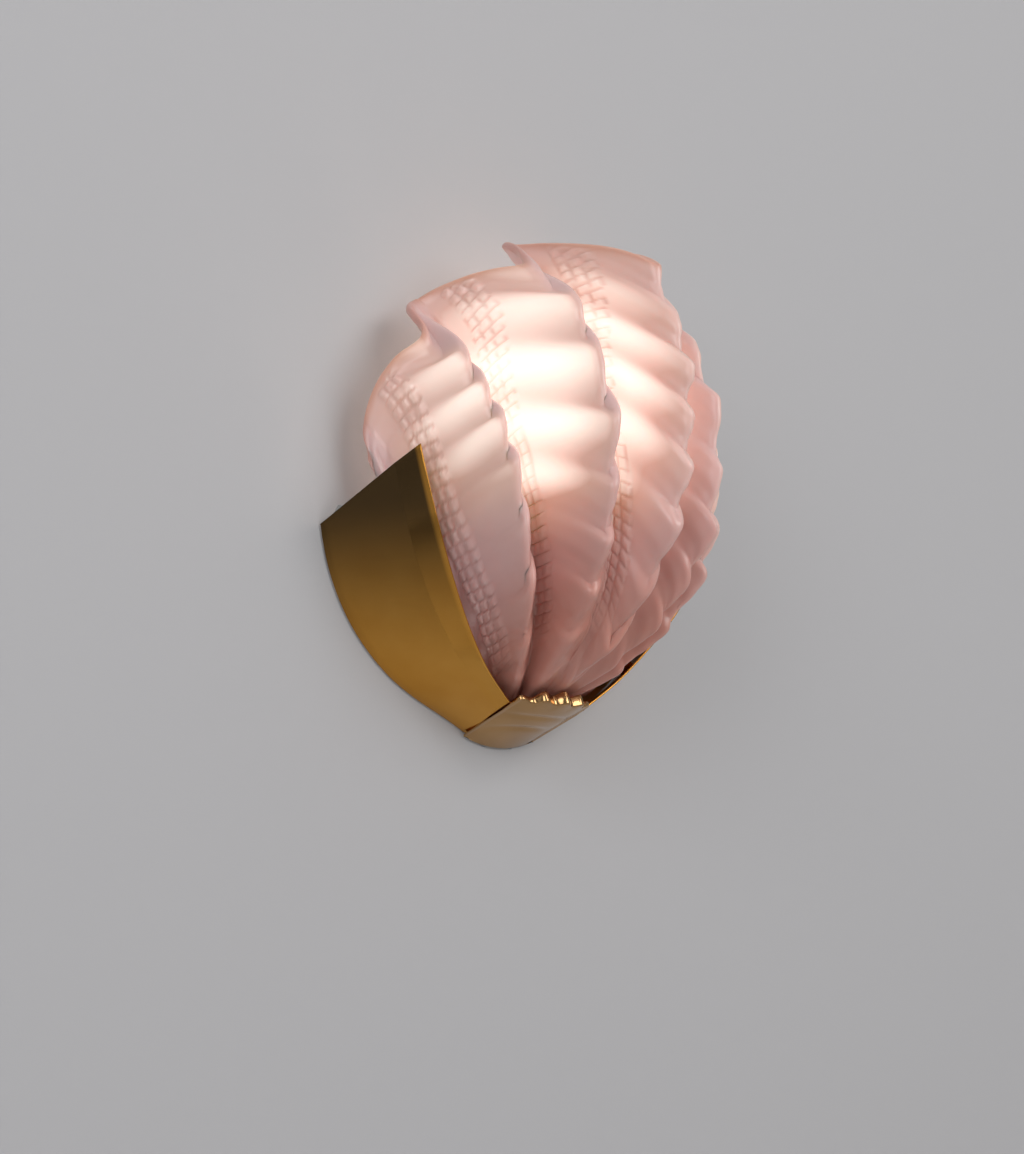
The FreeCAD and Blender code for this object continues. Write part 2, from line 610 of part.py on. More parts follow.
PIECES = {
    "glass_shade": glass_shade,
    "left_cheek": lambda: cheek(-1),
    "right_cheek": lambda: cheek(1),
    "toe_casting": toe_casting,
    "toe_screws": toe_screws,
    "cheek_screws": cheek_screws,
    "back_plate": back_plate,
    "seat_pad": seat_pad,
    "lamp_bracket": lamp_bracket,
    "bracket_screws": bracket_screws,
    "nipple": nipple,
    "nipple_nut": nipple_nut,
    "lock_washer": lock_washer,
    "holder_cup": holder_cup,
    "holder_body": holder_body,
    "holder_sleeve": holder_sleeve,
    "centre_contact": centre_contact,
    "bulb_cap": bulb_cap,
    "bulb_contact": bulb_contact,
    "bulb_glass": bulb_glass,
    "live_wire": lambda: supply_wire(BLOCK_X + POD_PITCH, 1),
    "neutral_wire": lambda: supply_wire(BLOCK_X, -1),
    "earth_wire": earth_wire,
    "terminal_block": terminal_block,
    "terminal_inserts": terminal_inserts,
    "terminal_screws": terminal_screws,
    "cable_grommet": cable_grommet,
    "earth_screw": earth_screw,
    "earth_tag": earth_tag,
}

for piece_name, make in PIECES.items():
    save(piece_name, make())
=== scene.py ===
import math

import bpy
import numpy as np
from mathutils import Matrix, Vector


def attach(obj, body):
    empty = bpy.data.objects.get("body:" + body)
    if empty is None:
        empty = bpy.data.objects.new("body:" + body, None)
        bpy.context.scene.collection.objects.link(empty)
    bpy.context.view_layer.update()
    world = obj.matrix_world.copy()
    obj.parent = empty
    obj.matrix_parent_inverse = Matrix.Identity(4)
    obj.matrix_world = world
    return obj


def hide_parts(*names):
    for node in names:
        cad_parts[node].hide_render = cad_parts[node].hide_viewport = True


# Shell wall sconce. The brass frame's body is "frame", the glass rides on "shade", the lamp on "bulb".
# Lengths are millimetres in the names below and metres in Blender; a point is written as (x, d, h):
# sideways, out from the wall, and up from the toe's lowest point at the wall, as in the part's source.

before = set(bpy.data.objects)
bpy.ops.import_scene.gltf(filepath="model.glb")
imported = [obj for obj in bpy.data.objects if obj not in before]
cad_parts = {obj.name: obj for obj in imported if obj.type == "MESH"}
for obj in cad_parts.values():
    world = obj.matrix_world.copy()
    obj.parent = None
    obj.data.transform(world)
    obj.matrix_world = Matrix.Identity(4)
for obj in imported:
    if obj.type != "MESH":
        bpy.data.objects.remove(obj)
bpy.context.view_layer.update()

MM = 0.001
FOOT_H = -95.0                # the toe's lowest point at the wall, in the frame

# ---- sizes shared with the part ----------------------------------------------------------------
GLASS_T = 3.4                 # wall of the shade
SHEET_T = 1.2                 # brass sheet of the cheeks
PLATE_T = 1.5                 # back plate
CREASE, CREASE_OUT = 0.76, 1.3     # the cheek's fold: share of the way to the front edge, and its rise
TAB_W, TAB_LENGTH = 11.0, 14.0     # feet of the cheeks, inwards from their wall edge
TAB_STATIONS = (2, 4, 6)      # points of CHEEK_WALL that carry a foot
LAMP_D, ARM_H = 48.5, 70.0    # the lamp's axis out from the wall, and the height of the arm under it
RIB_LINES = [                 # three control points for each crest and valley, from the middle to the side
    ((0.0, 202.0, 55.0), (0.0, 162.0, 196.0), (0.0, 132.0, 256.0)),
    ((22.0, 185.0, 58.0), (20.0, 95.0, 213.0), (25.0, 28.0, 281.0)),
    ((63.0, 204.0, 63.0), (32.0, 146.0, 226.0), (46.0, 72.0, 257.0)),
    ((48.0, 126.0, 55.0), (52.0, 53.0, 204.0), (80.0, 12.5, 239.0)),
    ((97.0, 167.0, 57.0), (73.0, 94.0, 200.0), (96.0, 47.0, 216.0)),
    ((45.0, 62.0, 33.0), (92.0, 62.0, 106.0), (115.0, 14.5, 168.5)),
    ((55.0, 48.0, 24.0), (91.0, 50.0, 76.0), (103.0, 33.0, 120.0)),
    ((45.0, 12.0, 14.0), (90.0, 5.0, 50.0), (98.0, 3.6, 100.0)),
]
GLASS_LEVELS = [0.0, 0.07, 0.16, 0.27, 0.4, 0.54, 0.68, 0.8, 0.91, 1.0]   # shares of a rib line
START_D, START_H, START_R = 6.0, 12.0, 5.0     # small arc on which the rib lines start
CHEEK_WALL = [(24.0, 0.8, 3.0), (37.0, 0.8, 9.8), (50.0, 0.8, 15.0), (77.0, 0.8, 27.5),
              (100.0, 0.8, 48.0), (115.0, 0.8, 69.0), (124.0, 0.8, 91.0), (127.0, 0.8, 108.5)]
CHEEK_FRONT = [(28.5, 41.8, 17.2), (39.0, 44.3, 25.0), (50.0, 47.3, 33.0), (70.0, 54.8, 55.5),
               (85.5, 61.9, 76.0), (99.0, 65.5, 102.0), (106.5, 64.5, 129.0), (109.5, 62.7, 145.0)]
NIPPLE_R = 5.0
# Heights of the lamp and its holder are above the arm.
CAP_R, CAP_BASE, CAP_TOP = 13.1, 18.0, 40.0
HOLDER_R, HOLDER_TOP, WELL_FLOOR = 19.0, 38.0, 14.0
BULB_R, BULB_MID = 27.5, 103.0

# ---- camera --------------------------------------------------------------------------------------
IMAGE_W, IMAGE_H = 1024, 1154
CAMERA_AZIMUTH, CAMERA_ELEVATION = -42.0, -9.0
CAMERA_DISTANCE = 1.35
SENSOR_W = 36.0
WALL_SCALE = 0.00056           # metres for a pixel at the toe
TOE_PIXEL = (497, 742)         # where the toe's lowest point lies in the picture

# ---- light and surroundings, in metres -----------------------------------------------------------
WALL_GREY = (0.49, 0.49, 0.505)
WALL_GAP = 0.0004         # from the back plate to the wall
WALL_HALF_W, WALL_TOP, FLOOR_H = 3.2, 1.9, -1.25
FLOOR_REACH = (-5.0, 3.0)
OPENING_W, OPENING_UP = 0.93, 5.0     # the wall's opening against the cheeks' outline: width, mm upwards
LAMP_GLOW = 2.8
# painted glow: strength of the lamp's light painted into the pink glass as emission
PAINTED_GLASS_GLOW = 0.95
SKY_STRENGTH = 0.92
SKY = [(0.0, (0.62, 0.60, 0.58)), (0.42, (0.50, 0.49, 0.48)),
       (0.56, (0.20, 0.195, 0.19)), (1.0, (0.42, 0.42, 0.43))]     # from straight down to straight up


def at(x, d, h):
    return Vector((x, -d, h + FOOT_H)) * MM


# ---- materials -------------------------------------------------------------------------------------
def material(name, color, roughness, metallic=0.0, **sockets):
    """Principled material; further sockets are named with underscores for spaces."""
    mat = bpy.data.materials.new(name)
    mat.use_nodes = True
    shader = mat.node_tree.nodes["Principled BSDF"]
    shader.inputs["Base Color"].default_value = (*color, 1.0)
    shader.inputs["Roughness"].default_value = roughness
    shader.inputs["Metallic"].default_value = metallic
    for key, value in sockets.items():
        shader.inputs[key.replace("_", " ")].default_value = value
    return mat


def noise(mat, scale, detail=4.0, stretch=(1, 1, 1)):
    """Noise in object space, output as a factor."""
    nodes, links = mat.node_tree.nodes, mat.node_tree.links
    coords = nodes.new("ShaderNodeTexCoord")
    mapping = nodes.new("ShaderNodeMapping")
    mapping.inputs["Scale"].default_value = stretch
    texture = nodes.new("ShaderNodeTexNoise")
    texture.inputs["Scale"].default_value = scale
    texture.inputs["Detail"].default_value = detail
    links.new(coords.outputs["Object"], mapping.inputs["Vector"])
    links.new(mapping.outputs["Vector"], texture.inputs["Vector"])
    return texture.outputs["Fac"]


def color_ramp(tree, source, stops):
    """Colour ramp over a factor; stops are (place, colour)."""
    node = tree.nodes.new("ShaderNodeValToRGB")
    elements = node.color_ramp.elements
    while len(elements) < len(stops):
        elements.new(0.5)
    for element, (place, color) in zip(elements, stops):
        element.position = place
        element.color = (*color, 1.0)
    tree.links.new(source, node.inputs["Fac"])
    return node.outputs["Color"]


def mottle(mat, color_a, color_b, scale, stretch=(1, 1, 1)):
    """Base colour that wanders between two colours."""
    color = color_ramp(mat.node_tree, noise(mat, scale, 5.0, stretch), [(0.35, color_a), (0.65, color_b)])
    mat.node_tree.links.new(color, mat.node_tree.nodes["Principled BSDF"].inputs["Base Color"])


def uneven(mat, low, high, scale, stretch=(1, 1, 1)):
    """Roughness that wanders between two values."""
    node = mat.node_tree.nodes.new("ShaderNodeMapRange")
    node.inputs["From Min"].default_value = 0.3
    node.inputs["From Max"].default_value = 0.7
    node.inputs["To Min"].default_value = low
    node.inputs["To Max"].default_value = high
    links = mat.node_tree.links
    links.new(noise(mat, scale, 4.0, stretch), node.inputs["Value"])
    links.new(node.outputs["Result"], mat.node_tree.nodes["Principled BSDF"].inputs["Roughness"])


def grain(mat, scale, distance, strength=1.0, stretch=(1, 1, 1)):
    """Bump from noise; several calls add up."""
    nodes, links = mat.node_tree.nodes, mat.node_tree.links
    shader = nodes["Principled BSDF"]
    bump = nodes.new("ShaderNodeBump")
    bump.inputs["Strength"].default_value = strength
    bump.inputs["Distance"].default_value = distance
    links.new(noise(mat, scale, 4.0, stretch), bump.inputs["Height"])
    if shader.inputs["Normal"].links:
        links.new(shader.inputs["Normal"].links[0].from_socket, bump.inputs["Normal"])
    links.new(bump.outputs["Normal"], shader.inputs["Normal"])


def painted(mat, name):
    """Factor that paint() left on the mesh's points."""
    node = mat.node_tree.nodes.new("ShaderNodeAttribute")
    node.attribute_name = name
    return node.outputs["Fac"]


def deepen(mat, source, name, color):
    """Base colour from a source, turned to another colour where the painted factor says so."""
    nodes, links = mat.node_tree.nodes, mat.node_tree.links
    mix = nodes.new("ShaderNodeMix")
    mix.data_type = "RGBA"
    mix.inputs["B"].default_value = (*color, 1.0)
    links.new(painted(mat, name), mix.inputs["Factor"])
    links.new(source, mix.inputs["A"])
    links.new(mix.outputs["Result"], nodes["Principled BSDF"].inputs["Base Color"])


def polished_brass(name, dark, light, roughness=(0.12, 0.24), scratch=(1, 1, 1)):
    """Hand-polished brass: soft cloudy tone, uneven gloss and fine rubbing marks."""
    mat = material(name, light, roughness[0], metallic=1.0)
    mottle(mat, dark, light, 18.0)
    uneven(mat, *roughness, 34.0, scratch)
    grain(mat, 900.0, 0.00002, 0.5, scratch)
    grain(mat, 60.0, 0.00025, 0.35)
    return mat


def cheek_brass():
    """Polished brass with painted shade: dark bronze towards its free top edge, and a painted highlight on
    its front edge.
    """
    mat = polished_brass("polished_cheek_brass", (0.60, 0.28, 0.045), (0.70, 0.35, 0.07),
                         (0.10, 0.2), (1, 1, 6))
    bright = mat.node_tree.nodes["Principled BSDF"].inputs["Base Color"].links[0].from_socket
    # painted shade: dark bronze towards the top, lighter on the front edge as a painted highlight
    deepen(mat, bright, "painted_cheek_shade", (0.085, 0.052, 0.022))
    return mat


def pink_glass():
    """Satin glass: milky pink, darker towards the foot and deeper at the thick rim, with painted shade in the
    squares' grooves and the lamp's light painted into it as a glow.
    """
    mat = material("pink_satin_glass", (0.9, 0.66, 0.62), 0.36, Subsurface_Weight=1.0,
                   Subsurface_Scale=0.004, Coat_Weight=0.25, Coat_Roughness=0.22, IOR=1.5)
    shader = mat.node_tree.nodes["Principled BSDF"]
    shader.inputs["Subsurface Radius"].default_value = (1.0, 0.95, 0.92)
    milky = [(0.3, (0.71, 0.485, 0.47)), (0.7, (0.75, 0.53, 0.51))]
    # deeper pink at the rim and darker towards the foot, with painted shade in the squares' grooves
    deepen(mat, color_ramp(mat.node_tree, noise(mat, 26.0), milky), "deeper_pink_and_groove_shade", (0.58, 0.28, 0.225))
    warm = [(0.0, (0.0, 0.0, 0.0)), (0.5, (0.13, 0.08, 0.025)), (1.0, (1.0, 0.93, 0.79))]
    # painted glow: the lamp's light through the glass, painted in as emission colour
    lit = color_ramp(mat.node_tree, painted(mat, "painted_lamp_glow"), warm)
    mat.node_tree.links.new(lit, shader.inputs["Emission Color"])
    shader.inputs["Emission Strength"].default_value = PAINTED_GLASS_GLOW
    uneven(mat, 0.3, 0.42, 40.0)
    grain(mat, 220.0, 0.00008, 0.4)
    return mat


def lit_glass():
    """Frosted glass of the burning lamp."""
    mat = material("lit_frosted_glass", (1.0, 0.96, 0.9), 0.4, Emission_Strength=LAMP_GLOW)
    stops = [(0.3, (1.0, 0.91, 0.76)), (0.7, (1.0, 0.94, 0.82))]
    warm = color_ramp(mat.node_tree, noise(mat, 30.0), stops)
    mat.node_tree.links.new(warm, mat.node_tree.nodes["Principled BSDF"].inputs["Emission Color"])
    return mat


def plain(name, dark, light, roughness, scale, bump, metallic=0.0, **sockets):
    """Everyday material with cloudy colour, uneven gloss and fine grain."""
    mat = material(name, light, roughness, metallic, **sockets)
    mottle(mat, dark, light, scale)
    uneven(mat, roughness * 0.85, min(1.0, roughness * 1.2), scale * 0.7)
    grain(mat, scale * 12.0, bump, 0.5)
    return mat


MATERIALS = {
    "glass": pink_glass(),
    "lit": lit_glass(),
    "brass": cheek_brass(),
    "cast": polished_brass("polished_cast_brass", (0.40, 0.23, 0.10), (0.54, 0.33, 0.15), (0.12, 0.22)),
    "plate": polished_brass("satin_plate_brass", (0.50, 0.35, 0.16), (0.62, 0.45, 0.21),
                            (0.3, 0.42), (1, 1, 12)),
    "turned": polished_brass("turned_brass", (0.58, 0.41, 0.18), (0.72, 0.53, 0.26),
                             (0.2, 0.3), (1, 1, 20)),
    "steel": plain("zinc_plated_steel", (0.50, 0.51, 0.52), (0.66, 0.67, 0.69), 0.3, 80.0, 0.00003, 1.0),
    "cap": plain("lamp_cap_aluminium", (0.62, 0.62, 0.63), (0.76, 0.76, 0.77), 0.28, 90.0, 0.00002, 1.0),
    "rubber": plain("black_rubber", (0.025, 0.025, 0.027), (0.05, 0.05, 0.052), 0.7, 90.0, 0.00008),
    "porcelain": plain("white_porcelain", (0.80, 0.79, 0.75), (0.88, 0.87, 0.84), 0.18, 30.0, 0.00003,
                       Coat_Weight=0.6, Coat_Roughness=0.08),
    "nylon": plain("white_nylon", (0.76, 0.76, 0.72), (0.84, 0.84, 0.81), 0.42, 70.0, 0.00005),
    "brown": plain("brown_insulation", (0.16, 0.07, 0.035), (0.22, 0.10, 0.05), 0.42, 80.0, 0.00003),
    "blue": plain("blue_insulation", (0.03, 0.09, 0.34), (0.05, 0.13, 0.42), 0.42, 80.0, 0.00003),
    "green": plain("green_insulation", (0.08, 0.30, 0.05), (0.13, 0.38, 0.07), 0.42, 80.0, 0.00003),
    "black": plain("black_glass_insulator", (0.02, 0.02, 0.022), (0.04, 0.04, 0.045), 0.15, 60.0, 0.00002),
}


# ---- mesh helpers ----------------------------------------------------------------------------------
def mesh_object(name, points, faces, mat, body, replaced):
    """Smooth-shaded piece that rides on a body and stands for the CAD nodes it replaces."""
    mesh = bpy.data.meshes.new(name)
    mesh.from_pydata([tuple(p) for p in points], [], faces)
    mesh.update()
    obj = bpy.data.objects.new(name, mesh)
    bpy.context.scene.collection.objects.link(obj)
    mesh.materials.append(MATERIALS[mat])
    for polygon in mesh.polygons:
        polygon.use_smooth = True
    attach(obj, body)
    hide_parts(*replaced)
    return obj


def paint(obj, name, values):
    """Leave one value on each point of a mesh for its material."""
    attribute = obj.data.attributes.new(name, "FLOAT", "POINT")
    attribute.data.foreach_set("value", values.reshape(-1).astype(np.float32))


def keep_edges(obj, width):
    """Small round on sharp edges."""
    bevel = obj.modifiers.new("edge_round", "BEVEL")
    bevel.width = width
    bevel.segments = 2
    bevel.limit_method = "ANGLE"
    bevel.angle_limit = math.radians(32)


def tube_faces(count, width, corners=(0, 1, 2, 3)):
    """Faces of a closed loop of rows of points; corners is the order that a face's points are taken in."""
    faces = []
    for row in range(count):
        after = (row + 1) % count
        for column in range(width - 1):
            quad = [row * width + column, row * width + column + 1, after * width + column + 1,
                    after * width + column]
            faces.append([quad[k] for k in corners])
    return faces


def end_strips(count, width, way):
    """Faces that close both ends of such a tube; way is 1 or -1, for the side that they face.

    With an odd count of rows, one small corner at the middle row of each end stays open.
    """
    faces = []
    for column, turn in ((0, way), (width - 1, -way)):
        for i in range(count // 2 - 1):
            rows = (i, i + 1, count - 2 - i, count - 1 - i)
            faces.append([row * width + column for row in rows][::turn])
    return faces


def spline_basis(count, degree, places):
    """Weights of the control points of a clamped uniform spline at some parameters."""
    last = count - degree
    knots = np.array([0.0] * degree + list(range(last + 1)) + [float(last)] * degree)
    t = np.clip(places, 0.0, last - 1e-9)[:, None]
    weights = ((t >= knots[:-1]) & (t < knots[1:])).astype(float)
    for k in range(1, degree + 1):
        rise = knots[k:-1] - knots[:-k - 1]
        fall = knots[k + 1:] - knots[1:-k]
        left = np.where(rise > 0, (t - knots[:-k - 1]) / np.where(rise > 0, rise, 1), 0)
        right = np.where(fall > 0, (knots[k + 1:] - t) / np.where(fall > 0, fall, 1), 0)
        weights = left * weights[:, :-1] + right * weights[:, 1:]
    return weights


def spline_grid(net, degrees, places_u, places_v):
    """Points of a spline surface on a grid of parameters."""
    net = np.array(net)
    basis_u = spline_basis(net.shape[0], degrees[0], places_u)
    basis_v = spline_basis(net.shape[1], degrees[1], places_v)
    return np.einsum("ai,bj,ijk->abk", basis_u, basis_v, net)


def unit(vectors):
    return vectors / np.linalg.norm(vectors, axis=-1, keepdims=True)


def grid_normals(grid):
    return unit(np.cross(np.gradient(grid, axis=0), np.gradient(grid, axis=1)))


def smoothstep(x, low, high):
    t = np.clip((x - low) / (high - low), 0.0, 1.0)
    return t * t * (3 - 2 * t)


# ---- glass -----------------------------------------------------------------------------------------
SPAN_STEPS = 20           # mesh columns for each step of the ribs' spline
GLASS_RINGS = 330         # mesh rows from the foot to the rim
RING_PITCH = 0.85         # about the gap between these rows
RIM_SHORT = 0.0065        # share of the length that is left to the rolled rim
FOLD_BLUR, RIM_BLUR, OFFSET_BLUR = 0.5, 0.85, 0.2     # in steps of the ribs' spline
RIM_ZONE = (0.72, 0.98)   # share of the length over which the folds turn to the rim's blur
SIDE_ZONE = (5.6, 6.4)    # rib places over which the shell's sides keep to the plain surface
TIP_PULL = 0.35           # how much nearer the tips stay to the blurred rim
RIM_DROP = (0.026, 0.008)  # share of the length that the rim drops at crests and at tips
CREST_PULL = 8.0          # how far the crests lean back in at the rim
CREST_PULL_FROM = 0.84    # share of the length at which they start to

RIPPLES = 9.5             # growth ripples from the foot to the rim
RIPPLE_SPREAD = 0.92      # below 1 they lie a little closer together towards the foot
RIPPLE_DROP = 0.85        # how far a ripple line drops from valley to crest, in ripples
LIP_DEPTH, FLANK_DEPTH, FINE_DEPTH = 7.0, 1.3, 0.4    # on the crests, between them, and the fine ripples
RIPPLE_FADE = (0.05, 0.32)        # share of the length over which they grow from nothing
RIB_WANDER, RUN_WANDER = 0.35, 0.2    # how unevenly they lie from rib to rib and along a rib, in ripples
LIP_STRENGTH = (0.72, 0.28)       # middle and spread of the lips' strength, from ripple to ripple
LIP_TAPER, LIP_LEAN = 1.3, 0.22   # how fast a lip sinks beside its crest, and how late in a ripple it comes
FINE_BETWEEN, HOLLOW_BETWEEN = 0.3, 0.4   # fine ripples and hollows between crests, against those on them
FINE_RIPPLES = 3.0                # fine ripples for each growth ripple
RIM_EASE, RIM_EASE_FROM = 0.4, 0.97   # how much the ripples ease off at the rim, and from where

SQUARE_PITCH, SQUARE_ROW, SQUARE_RISE = 5.8, 6.6, 1.15
SQUARE_COLUMNS, SQUARE_START = 3, 0.35    # squares side by side, and where the rows start at the rim
BAND_CRESTS = (0.0, 2.0, 4.0)     # rib places of the crests that have a band on each side
BAND_REACH = (0.02, 1.15)         # rib places past its crest between which a band may lie
BAND_FADE = (0.16, 0.5)           # share of the length over which the bands grow from nothing
BAND_END = (0.35, 0.5)            # rows of squares from the rim over which they end
SKEW_BLUR = 12.0                  # in mesh rows
SQUARE_EDGE = (0.04, 0.2)         # where a square's slope starts and ends, as shares of the pitch
BAND_PLACE = (0.60, 0.84)         # a band's middle at the rim and lower down, from crest 0 to valley 1
BAND_SHIFT = (0.02, 0.4)          # share of the length from the rim over which it moves

SHELL_SHARE = 0.94                # of the glass's thickness, away from the rim
RIM_SWELL, RIM_SWELL_REACH = 0.35, 3.0                # how much thicker it grows near the rim
ROLL_ANGLES, ROLL_REACH = (30, 60, 90, 120, 150), 0.9    # the rim's round end, a little flattened
GLASS_CLEAR = 0.3                 # least gap from the glass to the wall

# Painted glow: the lamp's light is painted into the glass as emission, placed and shaped by these.
GLOW_PLACE = (0.0, -72.0, 82.0)   # where the lamp's light is brightest, in the frame
GLOW_SHAPE = (0.7, 1.0, 1.0)      # weight of the distance along each axis
GLOW_START, GLOW_REACH = 40.0, 50.0   # distances over which the lamp shows through the glass
GLOW_LEVELS = (-14.0, 40.0)           # heights between which it fades in
INNER_FLANK_GLOW = 0.08               # of the glow on the outer flanks
FLANK_TURN = (-0.6, 0.4)              # how it passes from inner to outer flanks, over a sine of the rib place
FOOT_TONE = (0.18, 0.6)           # share of the length over which the darker pink towards the foot fades
RIM_TONE, RIM_TONE_REACH = 0.75, 2.2
# painted shade: how much darker the squares' grooves are made
GROOVE_PAINTED_SHADE = 0.11
HOLLOW_SHADE, GROOVE_SHADE = 0.35, 0.12               # how much of the glow they take away


def rib_point(index, t):
    """Point on a crest or valley line, from the foot at 0 to the rim at 1."""
    side = -1.0 if index < 0 else 1.0
    lower, upper, rim = (np.array(p) for p in RIB_LINES[abs(index)])
    turn = math.radians(90.0 * abs(index) / (len(RIB_LINES) - 1))
    start = np.array((START_R * math.sin(turn), START_D + START_R * math.cos(turn), START_H))
    x, d, h = ((1 - t) ** 3 * start + 3 * (1 - t) ** 2 * t * lower
               + 3 * (1 - t) * t * t * upper + t ** 3 * rim)
    return np.array((side * x, -d, h + FOOT_H))


def glass_net():
    """Control points of the middle surface: one row for each level, folds sharpened at each line."""
    last = len(RIB_LINES) - 1
    net = []
    for t in GLASS_LEVELS:
        peaks = [rib_point(i, t) for i in range(-last, last + 1)]
        middles = [(a + b) * 0.5 for a, b in zip(peaks, peaks[1:])]
        row = [peaks[0]]
        for i in range(1, len(peaks) - 1):
            row.append(middles[i - 1])
            row.append((peaks[i] * 6 - middles[i - 1] - middles[i]) * 0.25)
        row += [middles[-1], peaks[-1]]
        net.append(row)
    return net


def blur_across(field, sigma):
    """Gaussian blur along the columns of a grid, with its ends held."""
    reach = int(3 * sigma)
    offsets = np.arange(-reach, reach + 1)
    weights = np.exp(-0.5 * (offsets / sigma) ** 2)
    weights /= weights.sum()
    columns = field.shape[1]
    result = np.zeros_like(field)
    for offset, weight in zip(offsets, weights):
        result += weight * field[:, np.clip(np.arange(columns) + offset, 0, columns - 1)]
    return result


def rounded_folds(middle, ribs):
    """The same crests and valleys with rounder folds: blurred, then brought back to the fold lines."""
    near_rim = smoothstep(np.linspace(0, 1, GLASS_RINGS), *RIM_ZONE)[:, None, None]
    soft = blur_across(middle, FOLD_BLUR * SPAN_STEPS)
    soft = soft * (1 - near_rim) + blur_across(middle, RIM_BLUR * SPAN_STEPS) * near_rim
    result = soft.copy()
    for peak in range(int(math.ceil(ribs[0])), int(ribs[-1]) + 1):
        column = int(np.argmin(np.abs(ribs - peak)))
        window = np.cos(np.pi / 2 * np.clip(ribs - peak, -1, 1)) ** 2
        back = 1.0 - TIP_PULL * near_rim * (peak % 2)
        result += window[None, :, None] * back * (middle - soft)[:, column:column + 1]
    ends = smoothstep(np.abs(ribs), *SIDE_ZONE)[None, :, None]
    return result * (1 - ends) + middle * ends


def trimmed_rim(middle, ribs):
    """The rim drops a little at each crest and tip, so that it runs between them in arcs."""
    crest = 0.5 + 0.5 * np.cos(np.pi * ribs)
    keep = 1.0 - RIM_DROP[0] * crest ** 6 - RIM_DROP[1] * (1.0 - crest) ** 6
    rows = np.arange(GLASS_RINGS)[:, None] * keep[None, :]
    low = np.clip(rows.astype(int), 0, GLASS_RINGS - 2)
    part = (rows - low)[:, :, None]
    columns = np.arange(len(ribs))[None, :]
    return middle[low, columns] * (1.0 - part) + middle[low + 1, columns] * part


def glass_middle():
    """Grid of the plain middle surface, and the columns' places among the ribs: crests are even numbers."""
    last = len(RIB_LINES) - 1
    spans = 4 * last - 2
    places_v = np.linspace(0, spans, spans * SPAN_STEPS + 1)
    places_u = np.linspace(0, (len(GLASS_LEVELS) - 3) * (1.0 - RIM_SHORT), GLASS_RINGS)
    ribs = (places_v + 1.0) / 2.0 - last
    middle = spline_grid(glass_net(), (3, 3), places_u, places_v)
    return trimmed_rim(rounded_folds(middle, ribs), ribs), ribs


def rib_heights(middle, ribs):
    """For each point, the unit direction from its rib's foot line to its crest."""
    field = np.zeros_like(middle)
    for peak in range(-len(RIB_LINES) + 2, len(RIB_LINES), 2):
        columns = [int(np.argmin(np.abs(ribs - place))) for place in (peak - 1, peak, peak + 1)]
        low, top, high = (middle[:, column] for column in columns)
        field[:, np.abs(ribs - peak) <= 1.0] = unit(top - (low + high) / 2)[:, None]
    return field


def ripple_profile(phase, sharp):
    """One growth stage: flares slowly to a lip, then steps back; soft on the flanks, crisp on a crest."""
    p = phase % 1.0
    peak = 0.5 + LIP_LEAN * sharp
    wave = np.where(p < peak, p / peak, (1.0 - p) / (1.0 - peak))
    return 0.5 - 0.5 * np.cos(np.pi * wave)


def ripple_waves(share, ribs, crest):
    """Growth ripples with each one's strength, and the fine ones between: 0 in a hollow, 1 on a lip.

    The numbers inside the sines only keep neighbouring ripples and ribs unlike.
    """
    number = np.round(ribs / 2)[None, :]
    wander = RIB_WANDER * np.sin(2.1 * number + 0.7) + RUN_WANDER * np.sin(9.0 * share + 1.7 * ribs[None, :])
    phase = RIPPLES * share ** RIPPLE_SPREAD + wander + RIPPLE_DROP * crest
    strength = LIP_STRENGTH[0] + LIP_STRENGTH[1] * np.sin(2.6 * np.floor(phase) + 1.3 * number)
    fine = 0.5 + 0.5 * np.sin(2 * np.pi * (phase * FINE_RIPPLES + 0.2 * np.sin(5.0 * share)))
    return ripple_profile(phase, crest ** 2), strength, fine


def glass_relief(middle, normals, ribs):
    """Shift of the middle surface by ripples and squares; also the squares' grooves and the hollows."""
    steps = np.linalg.norm(np.diff(middle, axis=0), axis=2)
    run = np.vstack([np.zeros(middle.shape[1]), np.cumsum(steps, axis=0)])
    share = (run / run[-1]).mean(axis=1)[:, None] * np.ones_like(run)
    crest = 0.5 + 0.5 * np.cos(np.pi * ribs)[None, :]
    wave, strength, fine = ripple_waves(share, ribs, crest)
    fade = smoothstep(share, *RIPPLE_FADE) * (1.0 - RIM_EASE * smoothstep(share, RIM_EASE_FROM, 1.0))
    lips = -LIP_DEPTH * crest ** LIP_TAPER * (1.0 - strength * wave) * fade
    lips -= CREST_PULL * crest ** 2 * smoothstep(share, CREST_PULL_FROM, 1.0)
    fine_depth = FINE_DEPTH * (FINE_BETWEEN + (1.0 - FINE_BETWEEN) * crest)
    flank = (-FLANK_DEPTH * (1.0 - wave) - fine_depth * (1.0 - fine)) * fade
    raised, grooves = squares(middle, ribs, run, share)
    shift = rib_heights(middle, ribs) * lips[:, :, None] + normals * (flank + raised)[:, :, None]
    hollows = (1.0 - wave) * (HOLLOW_BETWEEN + (1.0 - HOLLOW_BETWEEN) * crest) * fade
    return shift, grooves, hollows


def lattice_skew(middle, past, place):
    """Cosine between the mesh's columns and rows along a band's middle, for each row."""
    down, across = unit(np.gradient(middle, axis=0)), unit(np.gradient(middle, axis=1))
    columns = np.argmin(np.abs(past[None, :] - place[:, :1]), axis=1)
    rows = np.arange(middle.shape[0])
    cosines = (down[rows, columns] * across[rows, columns]).sum(axis=1)
    return blur_across(cosines[None, :], SKEW_BLUR).T


def square_edge(place):
    """0 in the groove between two squares and 1 on a square, across one pitch."""
    return smoothstep(0.5 - np.abs(place % 1.0 - 0.5), *SQUARE_EDGE)


